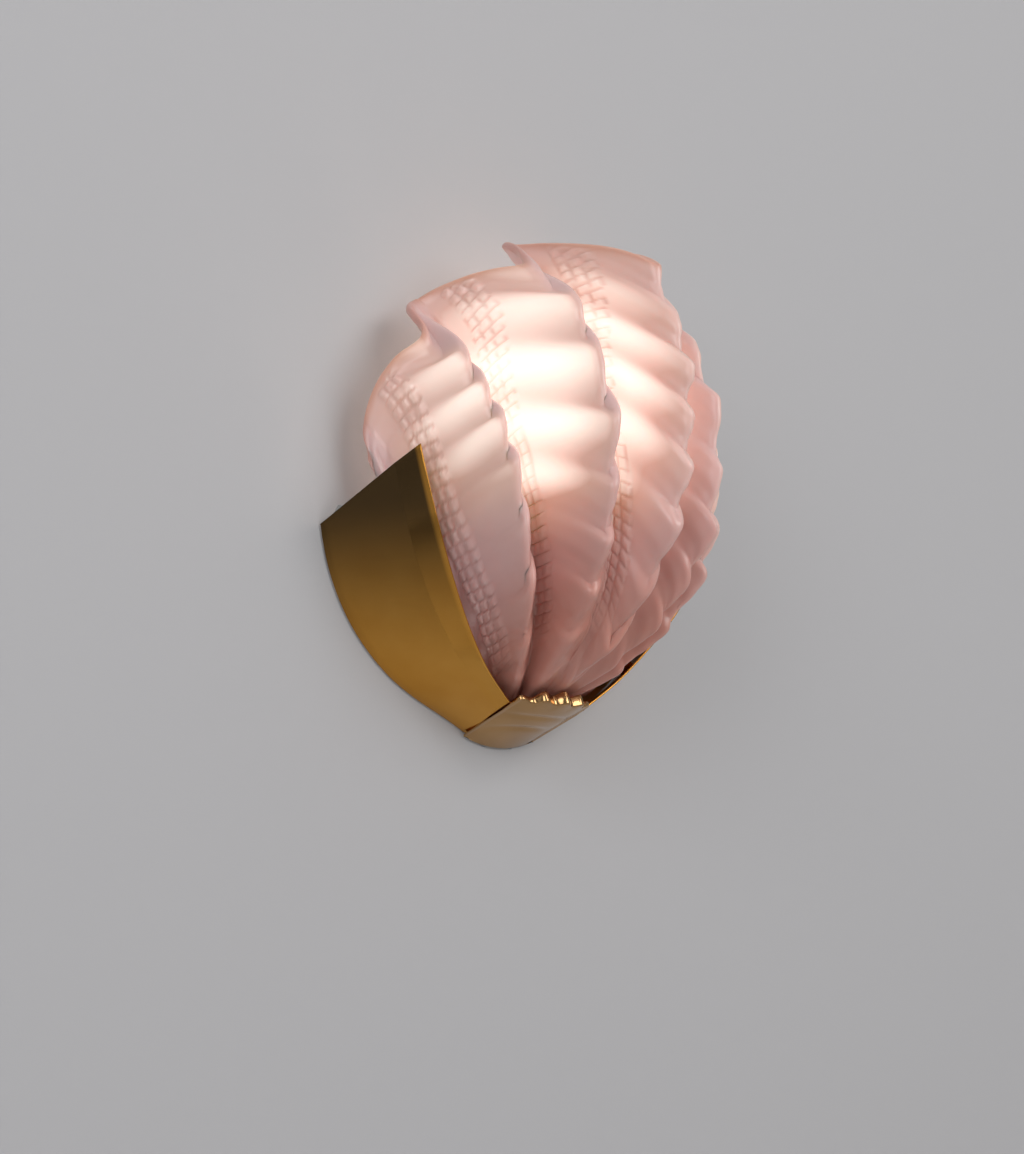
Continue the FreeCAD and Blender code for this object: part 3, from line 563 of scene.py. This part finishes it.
def square_band(middle, ribs, arc, down, share, side, crest_at):
    """Where one band of squares lies, and its pattern: 0 in the grooves and 1 on the squares."""
    past = side * ribs - crest_at
    top, foot = (np.array([np.interp(side * (crest_at + k), ribs, row) for row in arc]) for k in (0.0, 1.0))
    place = BAND_PLACE[0] + (BAND_PLACE[1] - BAND_PLACE[0]) * smoothstep(1.0 - share, *BAND_SHIFT)
    skew = lattice_skew(middle, past, place)
    off = side * (past[None, :] - place) * np.abs(foot - top)[:, None]
    column = side * off * np.sqrt(1.0 - skew ** 2) / SQUARE_PITCH + SQUARE_COLUMNS / 2
    cell = square_edge(column) * square_edge(down - skew * off / SQUARE_ROW + SQUARE_START)
    near = (past > BAND_REACH[0]) & (past < BAND_REACH[1])
    return (column > 0.0) & (column < SQUARE_COLUMNS) & near[None, :], cell


def squares(middle, ribs, run, share):
    """Heights of the bands of raised squares down the ribs' outer flanks, and their grooves."""
    across = np.linalg.norm(np.diff(middle, axis=1), axis=2)
    arc = np.hstack([np.zeros((middle.shape[0], 1)), np.cumsum(across, axis=1)])
    down = (run[-1] - run) / SQUARE_ROW
    fade = smoothstep(share, *BAND_FADE) * smoothstep(down, *BAND_END)
    height = np.zeros_like(run)
    grooves = np.zeros_like(run)
    for side in (-1.0, 1.0):
        for crest_at in BAND_CRESTS:
            band, cell = square_band(middle, ribs, arc, down, share, side, crest_at)
            height += np.where(band, cell * fade * SQUARE_RISE, 0.0)
            grooves += np.where(band, (1.0 - cell) * fade, 0.0)
    return height, grooves


def painted_lamp_glow(middle, ribs, grooves, hollows):
    """Painted glow of the lit lamp, given to the glass as emission: most on the outer flanks, with painted
    shade in the hollows and the squares' grooves.
    """
    away = np.linalg.norm((middle - np.array(GLOW_PLACE)) * GLOW_SHAPE, axis=2)
    near = np.exp(-np.clip(away - GLOW_START, 0, None) ** 2 / GLOW_REACH ** 2)
    flank = smoothstep(np.sin(np.pi * np.abs(ribs)), *FLANK_TURN)
    flank = INNER_FLANK_GLOW + (1.0 - INNER_FLANK_GLOW) * flank
    relief = 1.0 - HOLLOW_SHADE * hollows - GROOVE_SHADE * grooves
    return near * smoothstep(middle[:, :, 2], *GLOW_LEVELS) * flank[None, :] * relief


def glass_tone_and_groove_shade(from_rim, grooves):
    """How much deeper the pink is made: at the thick rim and towards the foot, and as painted shade in the
    squares' grooves.
    """
    rim = RIM_TONE * np.exp(-(from_rim / RIM_TONE_REACH) ** 2)
    foot = 1.0 - smoothstep(np.linspace(0, 1, GLASS_RINGS), *FOOT_TONE)
    return np.clip((rim + foot)[:, None] + GROOVE_PAINTED_SHADE * grooves, 0, 1)


def glass_shell():
    """The shade: a wall of glass about the rippled middle surface, closed by a rolled rim."""
    middle, ribs = glass_middle()
    normals = grid_normals(middle)
    outward = -np.sign(normals[GLASS_RINGS // 2, len(ribs) // 2, 1])
    shift, grooves, hollows = glass_relief(middle, normals * outward, ribs)
    glow = painted_lamp_glow(middle, ribs, grooves, hollows)
    middle = middle + shift
    normals = unit(blur_across(grid_normals(middle) * outward, OFFSET_BLUR * SPAN_STEPS))
    from_rim = np.arange(GLASS_RINGS)[::-1] * RING_PITCH
    half = GLASS_T / 2 * (SHELL_SHARE + RIM_SWELL * np.exp(-(from_rim / RIM_SWELL_REACH) ** 2))
    outer = middle + normals * half[:, None, None]
    inner = middle - normals * half[:, None, None]
    tangent = unit(middle[-1] - middle[-2])
    roll = [middle[-1] + half[-1] * (normals[-1] * math.cos(a) + tangent * math.sin(a) * ROLL_REACH)
            for a in np.radians(ROLL_ANGLES)]
    loop = np.concatenate([outer, np.array(roll), inner[::-1]])
    loop[:, :, 1] = np.minimum(loop[:, :, 1], -GLASS_CLEAR)
    count, width = loop.shape[:2]
    faces = tube_faces(count, width) + end_strips(count, width, 1)
    obj = mesh_object("glass_shell", loop.reshape(-1, 3) * MM, faces, "glass", "shade", ("glass_shade",))
    tone = glass_tone_and_groove_shade(from_rim, grooves)
    # deeper pink, with painted shade in the squares' grooves
    paint(obj, "deeper_pink_and_groove_shade", np.concatenate([tone, np.full((len(roll), width), RIM_TONE), tone[::-1]]))
    # painted glow of the lamp, carried over the rim and the inside as well
    paint(obj, "painted_lamp_glow", np.concatenate([glow, np.repeat(glow[-1:], len(roll), axis=0), glow[::-1]]))


# ---- toe -------------------------------------------------------------------------------------------
TOE_SLOPE = 19.5              # degrees above level
TOE_LENGTH, TOE_BULGE = 45.0, 14.0
TOE_BACK_W, TOE_FRONT_W = 52.0, 57.0
TOE_T, TOE_TOP_H, TOE_CROWN_R = 6.0, 2.0, 62.0
TOE_LEAST_T = 0.9
TOE_LOBES, LOBE_DEPTH, LOBE_START = 5, 3.6, 1.8    # a lobe starts this far inside the bowed front
TOE_RINGS, RING_W, RING_DEPTH = (27.0, 41.0), 2.6, 0.9     # soft ring hollows on the underside
TOE_ROUND, TOE_LIP, FLUTE_CUT = 0.8, 2.0, 0.32
LIP_ZONE, FLUTE_ZONE = (0.84, 0.95), (0.85, 1.0)   # shares of the way from the wall to the front
LIP_IN_FLUTES = 0.45          # the lip's height between two lobes, as a share of that on a lobe
TOE_COLUMNS = 201
TOE_ROWS = (48, 12)           # up to 0.9 of the way and from there to the front
TOE_SCREW_X, TOE_SCREW_H = 10.0, -0.6
TOE_SCREW_R, TOE_HEAD_R, TOE_SCREW_END = 1.28, 2.8, 5.4


def toe_place(x, out, z):
    """From the toe's own plane to the frame."""
    slope = math.radians(TOE_SLOPE)
    y = -out * np.cos(slope) + z * np.sin(slope)
    height = FOOT_H + TOE_TOP_H + out * np.sin(slope) + z * np.cos(slope)
    return np.stack([x, np.minimum(y, -PLATE_T), height], axis=-1)


def toe_outline():
    """The toe's top and underside from the wall to its fluted front, at each step across it."""
    half = TOE_FRONT_W / 2
    radius = (half ** 2 + TOE_BULGE ** 2) / (2 * TOE_BULGE)
    across = np.linspace(-1, 1, TOE_COLUMNS)
    angle = across * math.asin(half / radius)
    lobes = np.sin((across + 1) / 2 * TOE_LOBES * np.pi) ** 2
    reach = radius - LOBE_START + LOBE_DEPTH * lobes
    front_out = TOE_LENGTH + TOE_BULGE - radius + reach * np.cos(angle)
    share = np.concatenate([np.linspace(0, 0.9, TOE_ROWS[0]), np.linspace(0.91, 1.0, TOE_ROWS[1])])[:, None]
    x = (1 - share) * across * TOE_BACK_W / 2 + share * reach * np.sin(angle)
    out = share * front_out
    ring = np.hypot(x, out)
    hollows = sum(np.exp(-((ring - place) / RING_W) ** 2) for place in TOE_RINGS) * RING_DEPTH
    below = -TOE_T + TOE_CROWN_R - np.sqrt(TOE_CROWN_R ** 2 - x ** 2) + hollows * (1 - across ** 2)
    below = np.minimum(below, -TOE_LEAST_T)
    inside = np.clip((1 - share) * front_out / TOE_ROUND, 0, 1)
    rounding = (1 - np.sqrt(1 - (1 - inside) ** 2)) * np.minimum(-below / 2, TOE_ROUND)
    lip = TOE_LIP * smoothstep(share, *LIP_ZONE) * (LIP_IN_FLUTES + (1.0 - LIP_IN_FLUTES) * lobes)
    cut = FLUTE_CUT * (1.0 - lobes) * smoothstep(share, *FLUTE_ZONE)
    bottom = toe_place(x, out, below + rounding + cut)
    return np.concatenate([toe_place(x, out, lip - rounding), bottom[::-1]])


def toe():
    """Scallop toe: crowned below with two soft ring hollows, lipped above, rounded flutes along its front."""
    loop = toe_outline()
    count, width = loop.shape[:2]
    faces = tube_faces(count, width, (0, 3, 2, 1)) + end_strips(count, width, -1)
    obj = mesh_object("brass_toe", loop.reshape(-1, 3) * MM, faces, "cast", "frame", ("toe_casting",))
    keep_edges(obj, 0.0003)


def toe_screws():
    """Countersunk screws from behind through the plate into the toe."""
    profile = [(0, 0.1), (TOE_HEAD_R, 0.1), (TOE_SCREW_R, PLATE_T - 0.2),
               (TOE_SCREW_R, TOE_SCREW_END - 0.8), (0, TOE_SCREW_END)]
    turn = Matrix.Rotation(math.radians(90), 4, "X")
    places = [Matrix.Translation(at(x, 0, TOE_SCREW_H)) @ turn for x in (-TOE_SCREW_X, TOE_SCREW_X)]
    screws = lathe("toe_screw_pair", profile, "steel", "frame", ("toe_screws",), 32, places)


# ---- cheeks ----------------------------------------------------------------------------------------
CHEEK_STEPS = 120
TAB_START, TAB_END = 2.6, TAB_LENGTH + 0.4    # how far a foot reaches inwards from the wall edge
TRIM = 0.998                  # keeps the rounded edges within the sheet's own width
SHADED_HEIGHTS = (-66.0, 26.0)         # heights in the frame between bright brass and full painted shade
EDGE_ANGLES = (25, 65, 115, 155)     # degrees round the rounded front edge
EDGE_SHADE_SHARE = 0.35              # share of the painted shade that stays on the front edge, as a painted highlight
# Sides of a box, by its corners in the order of tab_points().
BOX_FACES = ((0, 1, 3, 2), (4, 6, 7, 5), (0, 4, 5, 1), (2, 3, 7, 6), (0, 2, 6, 4), (1, 5, 7, 3))


def cheek_lines():
    """Control points of a right cheek's outside: wall edge, fold and front edge."""
    wall = np.array([(x, -d, h + FOOT_H) for x, d, h in CHEEK_WALL])
    front = np.array([(x, -d, h + FOOT_H) for x, d, h in CHEEK_FRONT])
    chord = front - wall
    outward = unit(np.stack([-chord[:, 1], np.zeros(len(chord)), -np.abs(chord[:, 1]) * 0.25], axis=1))
    return [wall, wall + chord * CREASE + outward * CREASE_OUT, front]


def cheek_sheet():
    """Outline of the right cheek's sheet at each step along it, with a rounded fold and front edge."""
    along = np.linspace(0, len(CHEEK_WALL) - 3, CHEEK_STEPS)
    across = np.concatenate([np.linspace(0, 0.9, 10), np.linspace(0.97, 1.03, 5), np.linspace(1.15, 2.0, 8)])
    outer = spline_grid(cheek_lines(), (1, 3), across, along)
    fold = int(np.argmin(np.abs(across - 1.0)))
    outer[fold] = (outer[fold - 1] + outer[fold] * 2 + outer[fold + 1]) / 4
    normals = grid_normals(outer)
    if normals[fold // 2, CHEEK_STEPS // 2, 0] < 0:
        normals = -normals
    inner = outer - normals * SHEET_T
    edge = unit(outer[-1] - outer[-2])
    radius = SHEET_T / 2
    middle = outer[-1] - (edge + normals[-1]) * radius
    lip = [middle + (normals[-1] * math.cos(a) + edge * math.sin(a)) * radius
           for a in np.radians(EDGE_ANGLES)]
    return np.concatenate([outer[:-1], np.array(lip), inner[:-1][::-1]])


def cheek_painted_shade(loop):
    """Painted shade on the brass, darker towards the top, less on the front edge as a painted highlight."""
    rows = np.arange(len(loop))
    front = (len(loop) - len(EDGE_ANGLES)) // 2
    highlit_edge = (rows >= front - 1) & (rows <= front + len(EDGE_ANGLES) + 1)
    return smoothstep(loop[:, :, 2], *SHADED_HEIGHTS) * np.where(highlit_edge, EDGE_SHADE_SHARE, 1.0)[:, None]


def tab_points(side, station):
    """Corners of one of a cheek's feet, a flat tab against the plate."""
    x, _, h = CHEEK_WALL[station]
    before, after = CHEEK_WALL[station - 1], CHEEK_WALL[station + 1]
    slope = math.atan2(after[2] - before[2], after[0] - before[0])
    corners = []
    for along in (-TAB_W / 2, TAB_W / 2):
        for inwards in (TAB_START, TAB_END):
            for d in (PLATE_T + SHEET_T, PLATE_T):
                corner_x = side * (x + along * math.cos(slope) - inwards * math.sin(slope))
                corner_h = h + along * math.sin(slope) + inwards * math.cos(slope)
                corners.append(at(corner_x, d, corner_h))
    return corners


def cheek(side, side_name):
    """Folded brass sheet with its three feet."""
    loop = cheek_sheet()
    loop[:, :, 0] *= side * TRIM
    count, width = loop.shape[:2]
    points = list(loop.reshape(-1, 3) * MM)
    faces = tube_faces(count, width, (3, 2, 1, 0) if side < 0 else (0, 1, 2, 3))
    for column, flip in ((0, -1), (width - 1, 1)):
        faces.append([i * width + column for i in range(count)][::flip * int(side)])
    for station in TAB_STATIONS:
        base = len(points)
        points += tab_points(side, station)
        faces += [[base + k for k in quad] for quad in BOX_FACES]
    obj = mesh_object("brass_" + side_name, points, faces, "brass", "frame", (side_name + "_cheek",))
    # painted shade of the cheek, with a painted highlight on its front edge
    tone = cheek_painted_shade(loop).reshape(-1)
    paint(obj, "painted_cheek_shade", np.concatenate([tone, np.zeros(len(points) - tone.size)]))
    keep_edges(obj, 0.0002)


# ---- turned pieces ---------------------------------------------------------------------------------
THREAD_PITCH, THREAD_FADE = 3.6, 2.0     # a thread grows from nothing over THREAD_FADE at both ends
CAP_THREAD, SLEEVE_THREAD = 0.85, 0.25   # heights of the threads' ridges
THREAD_STEP = 0.3                        # between the profile's points along a thread


def lathe(name, profile, mat, body, replaced, segments, places=None, twist=None):
    """Turned solid about the lamp's axis, or at given places; the profile is (radius, height)."""
    points, faces = [], []
    count = len(profile)
    for place in places or [Matrix.Translation(at(0, LAMP_D, ARM_H))]:
        base = len(points)
        for k in range(segments):
            a = 2 * math.pi * k / segments
            for r, z in profile:
                wide = r + (twist(z, a) if twist else 0.0)
                points.append(place @ (Vector((wide * math.cos(a), wide * math.sin(a), z)) * MM))
        for k in range(segments):
            n = (k + 1) % segments
            for i in range(count - 1):
                faces.append((base + k * count + i, base + n * count + i, base + n * count + i + 1,
                              base + k * count + i + 1))
    obj = mesh_object(name, points, faces, mat, body, replaced)
    weld = obj.modifiers.new("weld", "WELD")
    weld.merge_threshold = 0.00002
    return obj


def round_profile(points, radius, steps=3):
    """Soften the inner corners of a profile."""
    result = [points[0]]
    for a, b, c in zip(points, points[1:], points[2:]):
        a, b, c = Vector(a), Vector(b), Vector(c)
        cut = min(radius, (a - b).length * 0.45, (c - b).length * 0.45)
        start, end = b + (a - b).normalized() * cut, b + (c - b).normalized() * cut
        for k in range(steps + 1):
            t = k / steps
            p = start * (1 - t) ** 2 + b * 2 * t * (1 - t) + end * t * t
            result.append((p.x, p.y))
    result.append(points[-1])
    return result


def thread(low, high, height):
    """Height of a screw thread's round ridge over the core, fading at both ends."""
    def lift(z, a):
        wave = 0.5 + 0.5 * math.cos(2 * math.pi * (z / THREAD_PITCH - a / (2 * math.pi)))
        ends = min(1.0, max(0.0, (z - low) / THREAD_FADE)) * min(1.0, max(0.0, (high - z) / THREAD_FADE))
        return height * wave * ends
    return lift


def lamp_glass():
    """Frosted glass: a neck that widens into a ball."""
    ball_r = BULB_R - 0.2
    profile = [(0.0, CAP_TOP - 0.2), (12.0, CAP_TOP - 0.2), (12.1, CAP_TOP + 1.0), (13.5, CAP_TOP + 6.0),
               (17.1, CAP_TOP + 20.0), (22.9, CAP_TOP + 41.0)]
    for angle in range(-24, 91, 3):
        a = math.radians(angle)
        profile.append((max(0.0, ball_r * math.cos(a)), BULB_MID + ball_r * math.sin(a)))
    body = lathe("frosted_bulb", round_profile(profile, 4.0), "lit", "bulb", ("bulb_glass",), 96)


def lamp_cap():
    """Screw cap with its thread, and the insulator with the contact at its end."""
    core, rim = CAP_R - 0.9, CAP_R - 0.1
    steps = int((CAP_TOP - CAP_BASE - 5.0) / THREAD_STEP)
    profile = [(0.0, CAP_BASE + 1.6), (9.0, CAP_BASE + 1.6), (core, CAP_BASE + 3.2)]
    profile += [(core, CAP_BASE + 3.4 + THREAD_STEP * i) for i in range(steps)]
    profile += [(core, CAP_TOP - 1.4), (rim, CAP_TOP - 0.8), (rim, CAP_TOP), (0.0, CAP_TOP)]
    cap = lathe("lamp_cap", profile, "cap", "bulb", ("bulb_cap",), 72,
                twist=thread(CAP_BASE + 4.0, CAP_TOP - 2.0, CAP_THREAD))
    foot = [(0.0, CAP_BASE - 1.0), (3.0, CAP_BASE - 0.9), (4.2, CAP_BASE - 0.2), (5.0, CAP_BASE + 0.1),
            (9.0, CAP_BASE + 1.6), (0.0, CAP_BASE + 1.6)]
    tip = lathe("lamp_foot", round_profile(foot, 0.5), "black", "bulb", ("bulb_contact",), 48)


def holder_shells():
    """Brass cup of the lampholder and the porcelain body that stands in it."""
    bore = NIPPLE_R + 0.1
    cup = [(bore, 0.0), (15.0, 0.0), (20.5, 5.0), (20.5, 12.0), (19.3, 12.0), (19.3, 5.6), (14.4, 1.2),
           (bore, 1.2), (bore, 0.0)]
    piece = lathe("holder_brass_cup", round_profile(cup, 0.8), "turned", "frame", ("holder_cup",), 96)
    body = [(bore, 1.2), (14.0, 1.2), (HOLDER_R, 5.8), (HOLDER_R, 30.0), (17.6, 32.0), (17.6, HOLDER_TOP),
            (15.0, HOLDER_TOP), (15.0, WELL_FLOOR), (bore, WELL_FLOOR), (bore, 1.2)]
    piece = lathe("holder_porcelain", round_profile(body, 1.0), "porcelain", "frame", ("holder_body",), 96)


def holder_sleeve():
    """Thin metal sleeve inside the lampholder, threaded for the cap."""
    inner, core, outer = CAP_R + 0.6, CAP_R + 1.25, CAP_R + 1.4
    floor, foot_r, foot_t = WELL_FLOOR, 10.5, 0.6
    low, high = floor + 2.0, HOLDER_TOP - 1.5
    rows = [low + THREAD_STEP * i for i in range(int((high - low) / THREAD_STEP))]
    skin = [(foot_r, floor + foot_t), (inner, floor + foot_t)]
    skin += [(inner, z) for z in rows] + [(inner, HOLDER_TOP - 1.0), (outer, HOLDER_TOP - 1.0)]
    skin += [(core, z) for z in reversed(rows)]
    skin += [(outer, floor), (foot_r, floor), (foot_r, floor + foot_t)]
    piece = lathe("holder_thread_sleeve", skin, "turned", "frame", ("holder_sleeve",), 72,
                  twist=thread(low, high, SLEEVE_THREAD))


# ---- kept CAD nodes --------------------------------------------------------------------------------
NODE_LOOKS = {                # material, and the round on sharp edges in metres
    "back_plate": ("plate", 0.0002), "seat_pad": ("rubber", 0.0003),
    "lamp_bracket": ("steel", 0.0003), "nipple": ("steel", 0.0), "nipple_nut": ("steel", 0.0003),
    "lock_washer": ("steel", 0.0), "centre_contact": ("turned", 0.0), "terminal_block": ("nylon", 0.0003),
    "terminal_inserts": ("turned", 0.0), "terminal_screws": ("steel", 0.0002),
    "cable_grommet": ("rubber", 0.0003), "earth_screw": ("steel", 0.0002), "earth_tag": ("steel", 0.0),
    "cheek_screws": ("turned", 0.0002), "bracket_screws": ("steel", 0.0002), "live_wire": ("brown", 0.0),
    "neutral_wire": ("blue", 0.0), "earth_wire": ("green", 0.0),
}


def dress_nodes():
    for name, (mat, width) in NODE_LOOKS.items():
        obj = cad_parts[name]
        obj.data.materials.clear()
        obj.data.materials.append(MATERIALS[mat])
        if width:
            keep_edges(obj, width)


# ---- room, light and camera ------------------------------------------------------------------------
def bearings(points, middle):
    """Angle of each point round a middle."""
    across, up = (points - middle).T
    return np.arctan2(up, across)


def wall_round_plate():
    """Points and faces of the wall, left open where the back plate covers it."""
    right = [(OPENING_W * x * MM, (h + OPENING_UP + FOOT_H) * MM) for x, d, h in CHEEK_WALL]
    outline = np.array(right + [(-x, z) for x, z in reversed(right)])
    middle = outline.mean(axis=0)
    own = bearings(outline, middle)
    sizes = np.linalg.norm(outline - middle, axis=1)
    low, high = np.array((-WALL_HALF_W, FLOOR_H)), np.array((WALL_HALF_W, WALL_TOP))
    corners = np.array([(high[0], low[1]), high, (low[0], high[1]), low])
    angles = np.sort(np.concatenate([own, bearings(corners, middle)]))
    order = np.argsort(own)
    near = np.interp(angles, own[order], sizes[order], period=2 * math.pi)
    ways = np.stack([np.cos(angles), np.sin(angles)], axis=1)
    limits = np.where(ways > 0, high - middle, middle - low)
    far = (limits / np.maximum(np.abs(ways), 1e-9)).min(axis=1)
    ring = [middle + ways * reach[:, None] for reach in (near, far)]
    points = [(x, WALL_GAP, z) for x, z in np.concatenate(ring)]
    count = len(angles)
    faces = [(i, count + i, count + (i + 1) % count, (i + 1) % count) for i in range(count)]
    return points, faces


def wall_paint():
    """Matt grey paint on the wall's front; its back is clear, so that the light can be seen from behind."""
    mat = material("wall_paint", WALL_GREY, 0.85)
    grain(mat, 700.0, 0.00012, 0.35)
    nodes, links = mat.node_tree.nodes, mat.node_tree.links
    side = nodes.new("ShaderNodeNewGeometry")
    clear = nodes.new("ShaderNodeBsdfTransparent")
    mix = nodes.new("ShaderNodeMixShader")
    links.new(side.outputs["Backfacing"], mix.inputs["Fac"])
    links.new(nodes["Principled BSDF"].outputs["BSDF"], mix.inputs[1])
    links.new(clear.outputs["BSDF"], mix.inputs[2])
    links.new(mix.outputs["Shader"], nodes["Material Output"].inputs["Surface"])
    return mat


def wall_and_floor():
    floor_paint = material("floor_paint", (0.72, 0.71, 0.70), 0.8)
    grain(floor_paint, 500.0, 0.0001, 0.3)
    front, back = FLOOR_REACH
    floor = [(-WALL_HALF_W, front, FLOOR_H), (WALL_HALF_W, front, FLOOR_H),
             (WALL_HALF_W, back, FLOOR_H), (-WALL_HALF_W, back, FLOOR_H)]
    panels = [("back_wall", *wall_round_plate(), wall_paint()),
              ("pale_floor", floor, [(0, 1, 2, 3)], floor_paint)]
    for name, points, faces, mat in panels:
        mesh = bpy.data.meshes.new(name)
        mesh.from_pydata(points, [], faces)
        obj = bpy.data.objects.new(name, mesh)
        bpy.context.scene.collection.objects.link(obj)
        mesh.materials.append(mat)


def area_lamp(name, place, target, size, power, color):
    data = bpy.data.lights.new(name, "AREA")
    data.shape = "RECTANGLE"
    data.size, data.size_y = size
    data.energy = power
    data.color = color
    obj = bpy.data.objects.new(name, data)
    obj.location = place
    obj.rotation_euler = (Vector(target) - Vector(place)).to_track_quat("-Z", "Y").to_euler()
    bpy.context.scene.collection.objects.link(obj)


def studio():
    """Two soft lamps, and a sky that is darkest just above the horizon, for the brass to mirror."""
    area_lamp("front_soft", (0.5, -2.3, 0.9), (0, 0, 0), (1.8, 1.4), 31.0, (1.0, 0.985, 0.97))
    area_lamp("left_soft", (-1.9, -1.2, 0.6), (0, 0, 0.05), (0.9, 1.4), 14.0, (0.97, 0.98, 1.0))
    world = bpy.data.worlds.new("studio")
    bpy.context.scene.world = world
    world.use_nodes = True
    nodes, links = world.node_tree.nodes, world.node_tree.links
    coords = nodes.new("ShaderNodeTexCoord")
    split = nodes.new("ShaderNodeSeparateXYZ")
    shift = nodes.new("ShaderNodeMapRange")
    shift.inputs["From Min"].default_value = -1.0
    links.new(coords.outputs["Generated"], split.inputs["Vector"])
    links.new(split.outputs["Z"], shift.inputs["Value"])
    shade = color_ramp(world.node_tree, shift.outputs["Result"], SKY)
    links.new(shade, nodes["Background"].inputs["Color"])
    nodes["Background"].inputs["Strength"].default_value = SKY_STRENGTH


def camera():
    azimuth, elevation = math.radians(CAMERA_AZIMUTH), math.radians(CAMERA_ELEVATION)
    back = Vector((math.sin(azimuth) * math.cos(elevation), -math.cos(azimuth) * math.cos(elevation),
                   math.sin(elevation)))
    right = Vector((math.cos(azimuth), math.sin(azimuth), 0.0))
    up = back.cross(right)
    sideways = (IMAGE_W / 2 - TOE_PIXEL[0]) * WALL_SCALE
    upwards = (TOE_PIXEL[1] - IMAGE_H / 2) * WALL_SCALE
    data = bpy.data.cameras.new("camera")
    data.sensor_fit = "HORIZONTAL"
    data.sensor_width = SENSOR_W
    data.lens = SENSOR_W * CAMERA_DISTANCE / (IMAGE_W * WALL_SCALE)
    obj = bpy.data.objects.new("camera", data)
    obj.location = at(0, 0, 0) + right * sideways + up * upwards + back * CAMERA_DISTANCE
    obj.rotation_euler = (-back).to_track_quat("-Z", "Y").to_euler()
    bpy.context.scene.collection.objects.link(obj)
    bpy.context.scene.camera = obj


glass_shell()
cheek(-1.0, "left")
cheek(1.0, "right")
toe()
toe_screws()
lamp_glass()
lamp_cap()
holder_shells()
holder_sleeve()
dress_nodes()
wall_and_floor()
studio()
camera()
bpy.context.scene.view_settings.view_transform = "Standard"
